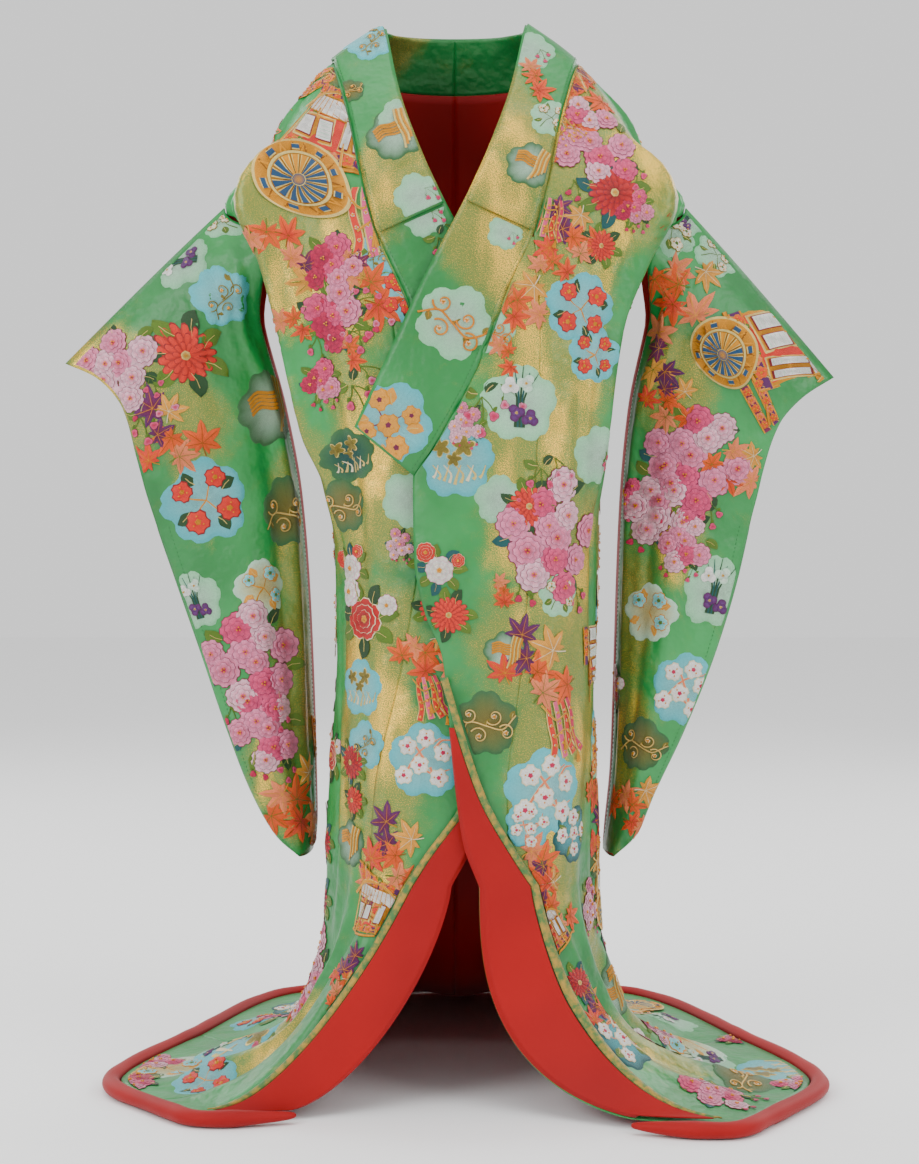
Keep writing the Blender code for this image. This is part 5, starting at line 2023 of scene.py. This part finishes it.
def embroider(name, seed):
    """All of one ground's embroidery as arrays, and the knots in its flowers' middles."""
    ground = GROUNDS[name]
    draw = np.random.default_rng(seed)
    clusters = []
    for row in SEEN.get(name, ()):
        clusters.append((row, *ground.find(row["x"], row["y"])))
    for row in HIDDEN.get(name, ()):
        clusters.append((row, row["across"], row["down"]))
    members, owners, offsets = [], [], []
    for owner, (row, _, _) in enumerate(clusters):
        for motif, x, y, turn, size in CLUSTERS[row["cluster"]](draw):
            scale = CLUSTER_SCALE * row["size"]
            members.append((motif, turn + row["turn"], size * scale))
            owners.append(owner)
            offsets.append(turned((x, y), row["turn"]) * scale)
    owners, offsets = np.array(owners), np.array(offsets)
    first_a = np.array([cluster[1] for cluster in clusters], float)[owners]
    first_b = np.array([cluster[2] for cluster in clusters], float)[owners]
    middle_a, middle_b = ground.moved(first_a, first_b, offsets)
    middle_a, middle_b = ground.limits(middle_a, middle_b, first_a)
    ways = ground.ways(middle_a, middle_b)
    flat, lifts, faces, runs, tints, metals, owner_of, total = [], [], [], [], [], [], [], 0
    knots, knot_owner = [], []
    for k, (motif, turn, size) in enumerate(members):
        step = 0.00003 * (k % 7)
        for shape in motif.shapes:
            flat.append(turned(shape["points"], turn) * size)
            raised = np.where(shape["lifts"] > SUNK_LIFT, shape["lifts"] + step, SUNK_LIFT)
            lifts.append(raised)
            faces.append(shape["faces"] + total)
            runs.append(shape["runs"] * size)
            tints.append(shape["tints"] * draw.uniform(0.90, 1.06))
            metals.append(shape["metals"])
            owner_of.append(np.full(len(shape["points"]), k))
            total += len(shape["points"])
        for x, y, level in motif.knots:
            knots.append((*(turned((x, y), turn) * size), level))
            knot_owner.append(k)

    def spread(points, owner):
        change = np.einsum("nij,nj->ni", ways[owner], points * 0.001)
        a, b = middle_a[owner] + change[:, 0], middle_b[owner] + change[:, 1]
        return (a, b, *ground.limits(a, b, middle_a[owner]))

    owner_of = np.concatenate(owner_of)
    free_a, free_b, a, b = spread(np.vstack(flat), owner_of)
    points = ground.form(a, b, np.concatenate(lifts))
    faces = np.vstack(faces)
    size_now = area_of(a, b, faces)
    kept = size_now > 0.08 * area_of(free_a, free_b, faces)
    made = {"points": points, "faces": faces[kept], "runs": np.vstack(runs)[kept],
            "tints": np.vstack(tints)[kept], "metals": np.concatenate(metals)[kept]}
    if knots:
        knots, knot_owner = np.array(knots), np.array(knot_owner)
        free_a, free_b, a, b = spread(knots[:, :2], knot_owner)
        inside = (free_a == a) & (free_b == b)
        lift = GROUND_LIFT + knots[:, 2] * LAYER_LIFT
        made["knots"] = ground.form(a, b, lift)[inside]
    return made


def area_of(a, b, faces):
    """Each face's size in a ground's coordinates."""
    a, b = a[faces], b[faces]
    return np.abs((a[:, 1] - a[:, 0]) * (b[:, 2] - b[:, 0]) - (a[:, 2] - a[:, 0]) * (b[:, 1] - b[:, 0]))


# Settings

def length_setting(name, default, description):
    return bpy.props.FloatProperty(name=name, default=default, description=description,
                                   subtype="DISTANCE", unit="LENGTH", precision=4)


def colour_setting(name, default, description):
    return bpy.props.FloatVectorProperty(name=name, default=default, description=description,
                                         subtype="COLOR", size=3, min=0.0, max=1.0)


class UchikakeCloth(bpy.types.PropertyGroup):
    thickness: length_setting("Cloth", 0.0016, "Thickness of a wall of brocade and lining")
    weave: length_setting("Weave", 0.0011, "Distance between the ground's fine ribs")
    green: colour_setting("Green", colour_of(30, 138, 62), "Ground of the brocade")
    deep_green: colour_setting("Deep green", colour_of(10, 104, 40), "Ground in its darker parts")
    light_green: colour_setting("Light green", colour_of(58, 164, 88), "Ground where it shines")
    gold: colour_setting("Gold", colour_of(206, 164, 62), "Foil woven into the ground")
    red: colour_setting("Red", colour_of(158, 0, 3), "Lining and hem roll")
    deep_red: colour_setting("Deep red", colour_of(136, 0, 3), "Lining in its darker parts")


class UchikakeThread(bpy.types.PropertyGroup):
    knot: length_setting("Knot", 0.0013, "Radius of a bead of thread in a flower's middle")
    stitch: length_setting("Stitch", 0.0028, "Length of a running stitch")
    pitch: length_setting("Pitch", 0.0056, "Distance from one running stitch to the next")
    radius: length_setting("Thread", 0.00038, "Radius of the sewing thread")


class UchikakeStage(bpy.types.PropertyGroup):
    distance: length_setting("Camera distance", CAMERA_DISTANCE, "From the camera to the garment's middle")
    height: length_setting("Camera height", EYE_HEIGHT, "Above the floor")
    floor: colour_setting("Floor", (0.94, 0.94, 0.94), "Colour of the floor")
    key_light: bpy.props.FloatProperty(name="Key light", default=68.0, min=0.0,
                                       description="Power of the two main lights, in watts")


MATERIALS = {}


def finish_of(key):
    """Each finish is made once, from the cloth settings."""
    if key in MATERIALS:
        return MATERIALS[key]
    cloth = bpy.context.scene.uchikake_cloth
    green, deep, light = tuple(cloth.green), tuple(cloth.deep_green), tuple(cloth.light_green)
    gold = tuple(cloth.gold)
    makers = {
        "brocade": lambda: brocade_material("brocade_satin", green, deep, light, gold, cloth.weave),
        "collar": lambda: brocade_material(
            "collar_satin", tuple(0.86 * v for v in green), deep, green, gold, cloth.weave),
        "lining": lambda: lining_material("red_crepe", tuple(cloth.red), tuple(cloth.deep_red)),
        "piping": lambda: piping_material("edge_brocade", tuple(0.7 * v for v in gold), deep),
        "silk": lambda: silk_material("embroidery_silk"),
        "gold_thread": lambda: thread_material("gold_thread", THREADS["gold"], 0.7, 0.30),
        "green_thread": lambda: thread_material("green_thread", deep, 0.0, 0.45),
    }
    MATERIALS[key] = makers[key]()
    return MATERIALS[key]


def settle_as(piece, kind, side):
    """Attaches a cloth piece to its body and hides the solid that it stands in for."""
    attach(piece, BODY)
    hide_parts(f"{kind}_{side}")


def cloth_piece(kind, side, points, finishes, gold=None):
    """A closed wall of cloth on a grid of points."""
    rows, columns = points.shape[:2]
    made = wall(f"cloth_{kind}_{side}", points.reshape(-1, 3),
                grid_faces(rows, columns, SIDES[side] < 0), [finish_of(key) for key in finishes],
                cut_of(points, columns // 2), bpy.context.scene.uchikake_cloth.thickness,
                {} if gold is None else {"gold": gold.ravel()})
    settle_as(made, kind, side)


def body_piece(side, rows, columns, span, lift=None, groove=0.0010, top=None):
    """The grid of one panel, in its angles and rows, and its points."""
    angle = columns_of(span, rows, columns)
    row = np.repeat(rows[:, None], columns, axis=1)
    if top is not None:
        angle, row = top(angle, row)
    share = np.linspace(0, 1, columns)[None, :]
    raised = groove * seam_groove(share, 0.05) + (lift(share) if lift is not None else 0.0)
    points = body(side, angle, row, raised + 0 * row)
    return angle, row, points


class UCHIKAKE_OT_panels(bpy.types.Operator):
    """Back, front and overlap panels, from the collar's seam down to the hem"""
    bl_idname = "uchikake.panels"
    bl_label = "Body panels"

    def execute(self, context):
        for side in SIDES:
            self.back(side)
            self.front(side)
            self.overlap(side)
        return {"FINISHED"}

    def dress(self, kind, side, angle, row, points):
        gold = body_gold(side, angle, row)
        cloth_piece(kind, side, points, ("brocade", "lining"), gold)

    def back(self, side):
        first, steady = 0.03, 0.15

        def follow_collar(angle, row):
            """The top rows are drawn up to the collar's seam; from the steady row down they stay."""
            level = row_of(collar_seam_back(angle[0]))[None, :]
            drawn = level + (row - first) * (steady - level) / (steady - first)
            return angle, np.where(row < steady, drawn, row)

        angle, row, points = body_piece(side, rows_down(first, 74, 44), 60,
                                        lambda at: back_span(side, at), top=follow_collar)
        self.dress("back", side, angle, row, points)

    def front(self, side):
        angle, row, points = body_piece(side, rows_down(0.006, 84, 44), 64,
                                        lambda at: front_span(side, at))
        self.dress("front", side, angle, row, points)

    def overlap(self, side):
        rows = rows_down(float(row_of(OVERLAP_TOP)), 84, 44)
        angle, row, points = body_piece(side, rows, 30, lambda at: overlap_span(side, at))
        self.dress("overlap", side, angle, row, points)


class UCHIKAKE_OT_collar(bpy.types.Operator):
    """The collar band, and the second layer over its upper part"""
    bl_idname = "uchikake.collar"
    bl_label = "Collar"

    def execute(self, context):
        for side in SIDES:
            self.band(side, "collar", np.linspace(-1, 1, 150), -0.012, 0.0)
            self.band(side, "over_collar", np.linspace(-1, OVER_END, 110), 0.02, OVER_COLLAR_LIFT)
        return {"FINISHED"}

    def band(self, side, kind, along, margin, lift):
        a, b = np.meshgrid(along, np.linspace(margin, 1 - margin, 15), indexing="ij")
        points = collar_surface(side, a, b, lift)
        cloth_piece(kind, side, points, ("collar",), collar_gold(side, a, b))


class UCHIKAKE_OT_sleeves(bpy.types.Operator):
    """Hanging sleeves: one length folded along the top, open at the cuff and inner edge"""
    bl_idname = "uchikake.sleeves"
    bl_label = "Sleeves"

    def execute(self, context):
        cloth = context.scene.uchikake_cloth
        for side in SIDES:
            self.sleeve(side, cloth)
        return {"FINISHED"}

    def sleeve(self, side, cloth):
        down = np.unique(np.concatenate((
            np.linspace(0, ARMHOLE_DOWN, 12),
            np.linspace(ARMHOLE_DOWN, CUFF_DOWN, 16),
            np.linspace(CUFF_DOWN, 1.0, 44),
        )))
        across = 1 - (1 - np.linspace(0, 1, 44)) ** 1.15
        b, a = np.meshgrid(down, across, indexing="ij")
        rows, columns = a.shape
        points, cuts, golds = [], [], []
        for face in (1, -1):
            grid = sleeve_surface(side, face, a, b)
            points.append(grid.reshape(-1, 3))
            cut = cut_of(grid, columns // 2).reshape(rows, columns, 2)
            cut[..., 1] *= face
            cuts.append(cut.reshape(-1, 2))
            golds.append(sleeve_gold(side, face, a, b).ravel())
        count = rows * columns
        index = np.arange(count).reshape(rows, columns)
        back = index + count
        back[0], back[-1] = index[0], index[-1]
        sewn = down > CUFF_DOWN
        back[sewn, -1] = index[sewn, -1]
        faces = np.vstack((quads_of(index, SIDES[side] > 0), quads_of(back, SIDES[side] < 0)))
        points, cuts, golds = np.vstack(points), np.vstack(cuts), np.concatenate(golds)
        used = np.unique(faces)
        fresh = np.full(len(points), -1)
        fresh[used] = np.arange(len(used))
        made = wall(f"cloth_sleeve_{side}", points[used], fresh[faces],
                    [finish_of("brocade"), finish_of("lining")], cuts[used], cloth.thickness,
                    {"gold": golds[used]})
        settle_as(made, "sleeve", side)


class UCHIKAKE_OT_turned_edges(bpy.types.Operator):
    """The front edges turned back below the knee: red lining framed by a narrow edge"""
    bl_idname = "uchikake.turned_edges"
    bl_label = "Turned edges"

    def execute(self, context):
        for side in SIDES:
            self.lining(side)
            self.piping(side)
        return {"FINISHED"}

    def lining(self, side):
        def span(at):
            free = inset(side, turned_angle(side, at), at, PIPING_WIDTH + PIPING_GAP)
            return free, edge_angle(side, at)

        def lift(share):
            at_fold = smooth((share - FOLD_FROM) / (1 - FOLD_FROM))
            return TURNED_LIFT[side] + (FOLD_LIFT - TURNED_LIFT[side]) * at_fold

        rows = rows_down(float(row_of(TURN_TOP[side])), 90, 44)
        free, fold = span(rows)
        rows = rows[inset(side, free, rows, NARROWEST_LINING) < fold]
        points = body_piece(side, rows, 40, span, lift, groove=0.0)[2]
        cloth_piece("lining", side, points, ("lining",))

    def piping(self, side):
        def span(at):
            free = turned_angle(side, at)
            return free, inset(side, free, at, PIPING_WIDTH)

        def lift(share):
            return TURNED_LIFT[side] + 0.0016 * np.sin(np.pi * share)

        rows = rows_down(float(row_of(TURN_TOP[side])), 110, 60)
        points = body_piece(side, rows, 9, span, lift, groove=0.0)[2]
        cloth_piece("piping", side, points, ("piping",))


class UCHIKAKE_OT_hem_roll(bpy.types.Operator):
    """The padded red roll that weights the hem"""
    bl_idname = "uchikake.hem_roll"
    bl_label = "Hem roll"

    def execute(self, context):
        for side in SIDES:
            self.roll(side)
        return {"FINISHED"}

    def roll(self, side):
        at = np.array([HEM_ROW])
        knots = []
        for span, columns in ((back_span, 30), (front_span, 60), (overlap_span, 30)):
            low, high = span(side, at)
            knots.append(np.linspace(low[0], high[0], columns))
        angle = np.unique(np.round(np.concatenate(knots), 6))
        rows = np.full(angle.shape, HEM_ROW)
        turned = smooth((angle - CORNER_ANGLE[side] + 8) / 6)
        edge = body(side, angle, rows, TURNED_LIFT[side] * turned, creased=0.0)
        ahead = body(side, angle + ANGLE_STEP, rows, creased=0.0)
        step = ahead - body(side, angle - ANGLE_STEP, rows, creased=0.0)
        out = np.stack((step[:, 1], -step[:, 0], 0 * angle), axis=-1) * -SIDES[side]
        out /= np.linalg.norm(out, axis=1, keepdims=True)
        out = self.steady(out)
        centre = edge + out * (ROLL_HALF_WIDTH + ROLL_GAP + ROLL_TURNED_GAP * turned)[:, None]
        centre[:, 2] = ROLL_CENTRE_HEIGHT
        around = 28
        turn = 2 * np.pi * np.arange(around) / around
        run = np.concatenate(([0], np.cumsum(np.linalg.norm(np.diff(centre, axis=0), axis=1))))
        uneven, tip, tip_length = 0.035, 0.18, 0.075
        lumps = 1 - uneven - uneven * np.sin(run * 61 + 1.3 * np.sin(run * 23))[:, None]
        taper = tip + (1 - tip) * np.sqrt(np.clip((run[-1] - run) / tip_length, 0.0, 1.0))
        lumps = lumps * taper[:, None]
        wide = ROLL_HALF_WIDTH * np.cos(turn)[None, :] * lumps
        high = ROLL_HALF_HEIGHT * np.sin(turn)[None, :] * lumps * 0.99
        sewn = 1 - 0.16 * np.exp(-((turn - np.pi) / 0.32) ** 2)[None, :]
        points = centre[:, None, :] + out[:, None, :] * (wide * sewn)[..., None]
        points[..., 2] += high
        count = len(angle)
        index = np.arange(count * around).reshape(count, around)
        beside = np.roll(index, -1, axis=1)
        quads = np.stack((index[:-1], beside[:-1], beside[1:], index[1:]), axis=-1).reshape(-1, 4)
        if SIDES[side] < 0:
            quads = quads[:, ::-1]
        ends = [index[0][::-1] if SIDES[side] > 0 else index[0],
                index[-1] if SIDES[side] > 0 else index[-1][::-1]]
        cut = np.stack((np.repeat(turn[None, :] * 0.016, count, axis=0),
                        np.repeat(run[:, None], around, axis=1)), axis=-1).reshape(-1, 2)
        made = make_mesh(f"padded_hem_{side}", points.reshape(-1, 3), [*quads.tolist(), *ends],
                         [finish_of("lining")], cut=cut)
        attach(made, BODY)
        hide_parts(f"hem_roll_{side}")

    def steady(self, out):
        """Round the corners: the roll bends softly."""
        for _ in range(3):
            out[1:-1] = out[:-2] + 2 * out[1:-1] + out[2:]
            out /= np.linalg.norm(out, axis=1, keepdims=True)
        return out


class UCHIKAKE_OT_embroidery(bpy.types.Operator):
    """Satin-stitched flowers, maples, carriages, patches and ribbons over the brocade"""
    bl_idname = "uchikake.embroidery"
    bl_label = "Embroidery"

    def execute(self, context):
        knots = {side: [] for side in SIDES}
        for seed, name in enumerate(GROUNDS):
            if name not in SEEN and name not in HIDDEN:
                continue
            work = embroider(name, seed + 3)
            self.thread(name, work)
            if "knots" in work:
                knots[name.rsplit("_", 1)[1]].append(work["knots"])
        for side, places in knots.items():
            flower_knots(f"flower_knots_{side}", np.vstack(places), context.scene.uchikake_thread)
        return {"FINISHED"}

    def thread(self, name, work):
        used, fresh = np.unique(work["faces"], return_inverse=True)
        faces = fresh.reshape(-1, 3)
        made = make_mesh(f"embroidery_{name}", work["points"][used], faces, [finish_of("silk")])
        mesh = made.data
        tint = mesh.attributes.new("tint", "FLOAT_COLOR", "CORNER")
        colours = np.concatenate((work["tints"].reshape(-1, 3), np.ones((len(faces) * 3, 1))), axis=1)
        tint.data.foreach_set("color", np.clip(colours, 0, 1).astype(np.float32).ravel())
        metal = mesh.attributes.new("metal", "FLOAT", "FACE")
        metal.data.foreach_set("value", work["metals"].astype(np.float32))
        layer = mesh.uv_layers.new(name="stitch")
        runs = work["runs"].ravel()
        pairs = np.stack((runs * 0.001, 0 * runs), axis=-1)
        layer.data.foreach_set("uv", pairs.astype(np.float32).ravel())
        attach(made, BODY)


def node_tree(name, sockets):
    """An empty Geometry Nodes tree with named inputs; returns it with its two ends."""
    tree = bpy.data.node_groups.new(name, "GeometryNodeTree")
    tree.interface.new_socket("Geometry", in_out="INPUT", socket_type="NodeSocketGeometry")
    for label, default in sockets:
        socket = tree.interface.new_socket(label, in_out="INPUT", socket_type="NodeSocketFloat")
        socket.default_value = default
    tree.interface.new_socket("Geometry", in_out="OUTPUT", socket_type="NodeSocketGeometry")
    return tree, tree.nodes.new("NodeGroupInput"), tree.nodes.new("NodeGroupOutput")


def join(tree, *rows):
    """Links nodes: each row names an output of one and an input of the next."""
    for first, output, second, entry in rows:
        tree.links.new(first.outputs[output], second.inputs[entry])


def set_input(modifier, label, value):
    for item in modifier.node_group.interface.items_tree:
        if item.item_type == "SOCKET" and item.in_out == "INPUT" and item.name == label:
            modifier[item.identifier] = value
            return
    raise KeyError(label)


def baked(source, name):
    """The evaluated object as a plain mesh object, in place of its source."""
    bpy.context.view_layer.update()
    shape = source.evaluated_get(bpy.context.evaluated_depsgraph_get())
    mesh = bpy.data.meshes.new_from_object(shape)
    made = bpy.data.objects.new(name, mesh)
    bpy.context.scene.collection.objects.link(made)
    bpy.data.objects.remove(source)
    return made


def knot_tree(material):
    """A small bead of thread on each point."""
    tree, start, end = node_tree("Knots", (("Radius", 0.0012),))
    bead = tree.nodes.new("GeometryNodeMeshIcoSphere")
    bead.inputs["Subdivisions"].default_value = 1
    instance = tree.nodes.new("GeometryNodeInstanceOnPoints")
    real = tree.nodes.new("GeometryNodeRealizeInstances")
    finish = tree.nodes.new("GeometryNodeSetMaterial")
    finish.inputs["Material"].default_value = material
    join(tree,
         (start, "Radius", bead, "Radius"),
         (start, "Geometry", instance, "Points"),
         (bead, "Mesh", instance, "Instance"),
         (instance, "Instances", real, "Geometry"),
         (real, "Geometry", finish, "Geometry"),
         (finish, "Geometry", end, "Geometry"))
    return tree


def flower_knots(name, places, thread):
    source = make_mesh(f"{name}_points", places, [], [])
    modifier = source.modifiers.new("knots", "NODES")
    modifier.node_group = knot_tree(finish_of("gold_thread"))
    set_input(modifier, "Radius", thread.knot)
    made = baked(source, name)
    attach(made, BODY)


def stitch_tree(material):
    """Short rounded stitches, evenly spaced along a path."""
    tree, start, end = node_tree("Stitches", (("Length", 0.0026), ("Pitch", 0.0052), ("Radius", 0.00035)))
    spacing = tree.nodes.new("GeometryNodeResampleCurve")
    spacing.mode = "LENGTH"
    stitch = tree.nodes.new("GeometryNodeMeshCylinder")
    stitch.inputs["Vertices"].default_value = 6
    instance = tree.nodes.new("GeometryNodeInstanceOnPoints")
    tangent = tree.nodes.new("GeometryNodeInputTangent")
    along = tree.nodes.new("FunctionNodeAlignRotationToVector")
    along.axis = "Z"
    real = tree.nodes.new("GeometryNodeRealizeInstances")
    finish = tree.nodes.new("GeometryNodeSetMaterial")
    finish.inputs["Material"].default_value = material
    join(tree,
         (start, "Geometry", spacing, "Curve"),
         (start, "Pitch", spacing, "Length"),
         (start, "Length", stitch, "Depth"),
         (start, "Radius", stitch, "Radius"),
         (tangent, "Tangent", along, "Vector"),
         (along, "Rotation", instance, "Rotation"),
         (spacing, "Curve", instance, "Points"),
         (stitch, "Mesh", instance, "Instance"),
         (instance, "Instances", real, "Geometry"),
         (real, "Geometry", finish, "Geometry"),
         (finish, "Geometry", end, "Geometry"))
    return tree


STITCH_LIFT = 0.0009


class UCHIKAKE_OT_stitches(bpy.types.Operator):
    """Running stitches beside the sleeve edges and the collar's outer seam"""
    bl_idname = "uchikake.stitches"
    bl_label = "Stitches"

    def execute(self, context):
        thread = context.scene.uchikake_thread
        for side in SIDES:
            outer_down = np.linspace(CUFF_DOWN + 0.02, 0.985, 120)
            inner_down = np.linspace(0.16, 0.97, 120)
            along = np.linspace(0.0, 0.99, 140)
            along = along[along > 0.47]
            upper = np.linspace(-0.99, 0.44, 140)
            over = OVER_COLLAR_LIFT + STITCH_LIFT
            self.sew(f"stitches_{side}", [
                sleeve_surface(side, 1, 0.955, outer_down, STITCH_LIFT),
                sleeve_surface(side, 1, 0.03, inner_down, STITCH_LIFT),
                collar_surface(side, along, 0.05, STITCH_LIFT),
                collar_surface(side, upper, 0.055, over),
            ], thread)
        return {"FINISHED"}

    def sew(self, name, paths, thread):
        data = bpy.data.curves.new(name, "CURVE")
        data.dimensions = "3D"
        for path in paths:
            spline = data.splines.new("POLY")
            spline.points.add(len(path) - 1)
            placed = path - np.array((0.0, 0.0, HOLD_HEIGHT))
            spline.points.foreach_set("co", np.hstack((placed, np.ones((len(path), 1)))).ravel())
        source = bpy.data.objects.new(f"{name}_path", data)
        bpy.context.scene.collection.objects.link(source)
        modifier = source.modifiers.new("stitches", "NODES")
        modifier.node_group = stitch_tree(finish_of("green_thread"))
        set_input(modifier, "Length", thread.stitch)
        set_input(modifier, "Pitch", thread.pitch)
        set_input(modifier, "Radius", thread.radius)
        made = baked(source, name)
        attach(made, BODY)


class UCHIKAKE_OT_stage(bpy.types.Operator):
    """Pale floor, soft studio lights and the camera"""
    bl_idname = "uchikake.stage"
    bl_label = "Stage"

    def execute(self, context):
        stage = context.scene.uchikake_stage
        self.floor(stage)
        self.lights(context, stage)
        self.camera(context, stage)
        return {"FINISHED"}

    def floor(self, stage):
        mesh = bpy.data.meshes.new("floor")
        half, below = 9.0, 0.0006
        level = min(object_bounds()[0][2], CAD_BOX[0][2]) - below
        corners = ((-half, -half), (half, -half), (half, half), (-half, half))
        mesh.from_pydata([(x, y, level) for x, y in corners], [], [(0, 1, 2, 3)])
        floor = bpy.data.objects.new("floor", mesh)
        bpy.context.scene.collection.objects.link(floor)
        maker = Maker("pale_floor")
        grain = maker.noise(maker.place(), 40.0, 3.0)
        tone = tuple(stage.floor)
        darker = tuple(0.985 * v for v in tone)
        maker.set(Base_Color=maker.mix(grain, darker, tone), Roughness=0.85)
        mesh.materials.append(maker.material)
        floor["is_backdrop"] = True

    def lights(self, context, stage):
        rows = named_rows(
            ("name", "x", "y", "z", "size", "share"),
            ("key_left", -2.6, -2.6, 1.6, 2.2, 1.25),
            ("key_right", 2.6, -2.4, 1.5, 2.2, 0.85),
            ("top", 0.0, -0.4, 3.0, 3.0, 0.75),
            ("back_left", -2.4, 2.4, 1.4, 2.0, 0.6),
            ("back_right", 2.4, 2.4, 1.4, 2.0, 0.6),
        )
        middle_height = -0.6
        for row in rows:
            data = bpy.data.lights.new(row["name"], "AREA")
            data.shape = "DISK"
            data.size = row["size"]
            data.energy = stage.key_light * row["share"]
            lamp = bpy.data.objects.new(row["name"], data)
            lamp.location = (row["x"], row["y"], row["z"] + middle_height)
            aim = Vector((0, 0, middle_height)) - lamp.location
            lamp.rotation_euler = aim.to_track_quat("-Z", "Y").to_euler()
            context.scene.collection.objects.link(lamp)
        world = bpy.data.worlds.new("studio")
        world.use_nodes = True
        sky = world.node_tree.nodes["Background"]
        sky.inputs["Color"].default_value = (1.0, 1.0, 1.0, 1.0)
        sky.inputs["Strength"].default_value = 1.05
        context.scene.world = world

    def camera(self, context, stage):
        data = bpy.data.cameras.new("camera")
        frame_high, middle_x, middle_y = 1164.0, 459.5, 582.0
        data.sensor_fit = "VERTICAL"
        data.sensor_height = 24.0
        data.lens = FOCAL_PIXELS / frame_high * data.sensor_height
        data.shift_x = (middle_x - LEVEL_X) / frame_high
        data.shift_y = -(middle_y - LEVEL_Y) / frame_high
        camera = bpy.data.objects.new("camera", data)
        camera.location = (0.0, -stage.distance, stage.height - HOLD_HEIGHT)
        camera.rotation_euler = (math.radians(90), 0.0, 0.0)
        context.scene.collection.objects.link(camera)
        context.scene.camera = camera


OPERATORS = (
    UCHIKAKE_OT_panels,
    UCHIKAKE_OT_collar,
    UCHIKAKE_OT_sleeves,
    UCHIKAKE_OT_turned_edges,
    UCHIKAKE_OT_hem_roll,
    UCHIKAKE_OT_embroidery,
    UCHIKAKE_OT_stitches,
    UCHIKAKE_OT_stage,
)


class UCHIKAKE_PT_sidebar(bpy.types.Panel):
    """Lists the pieces in the order in which they are made"""
    bl_label = "Uchikake"
    bl_idname = "UCHIKAKE_PT_sidebar"
    bl_space_type = "VIEW_3D"
    bl_region_type = "UI"
    bl_category = "Uchikake"

    def draw(self, context):
        scene = context.scene
        for settings in (scene.uchikake_cloth, scene.uchikake_thread, scene.uchikake_stage):
            for key in settings.bl_rna.properties.keys():
                if key not in ("rna_type", "name"):
                    self.layout.prop(settings, key)
        for operator in OPERATORS:
            self.layout.operator(operator.bl_idname)


CLASSES = (UchikakeCloth, UchikakeThread, UchikakeStage, *OPERATORS, UCHIKAKE_PT_sidebar)


def register():
    for made in CLASSES:
        bpy.utils.register_class(made)
    bpy.types.Scene.uchikake_cloth = bpy.props.PointerProperty(type=UchikakeCloth)
    bpy.types.Scene.uchikake_thread = bpy.props.PointerProperty(type=UchikakeThread)
    bpy.types.Scene.uchikake_stage = bpy.props.PointerProperty(type=UchikakeStage)


def unregister():
    del bpy.types.Scene.uchikake_stage
    del bpy.types.Scene.uchikake_thread
    del bpy.types.Scene.uchikake_cloth
    for made in reversed(CLASSES):
        bpy.utils.unregister_class(made)


def main():
    register()
    for operator in OPERATORS:
        group, name = operator.bl_idname.split(".")
        getattr(getattr(bpy.ops, group), name)()
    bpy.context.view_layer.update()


if __name__ == "__main__":
    main()
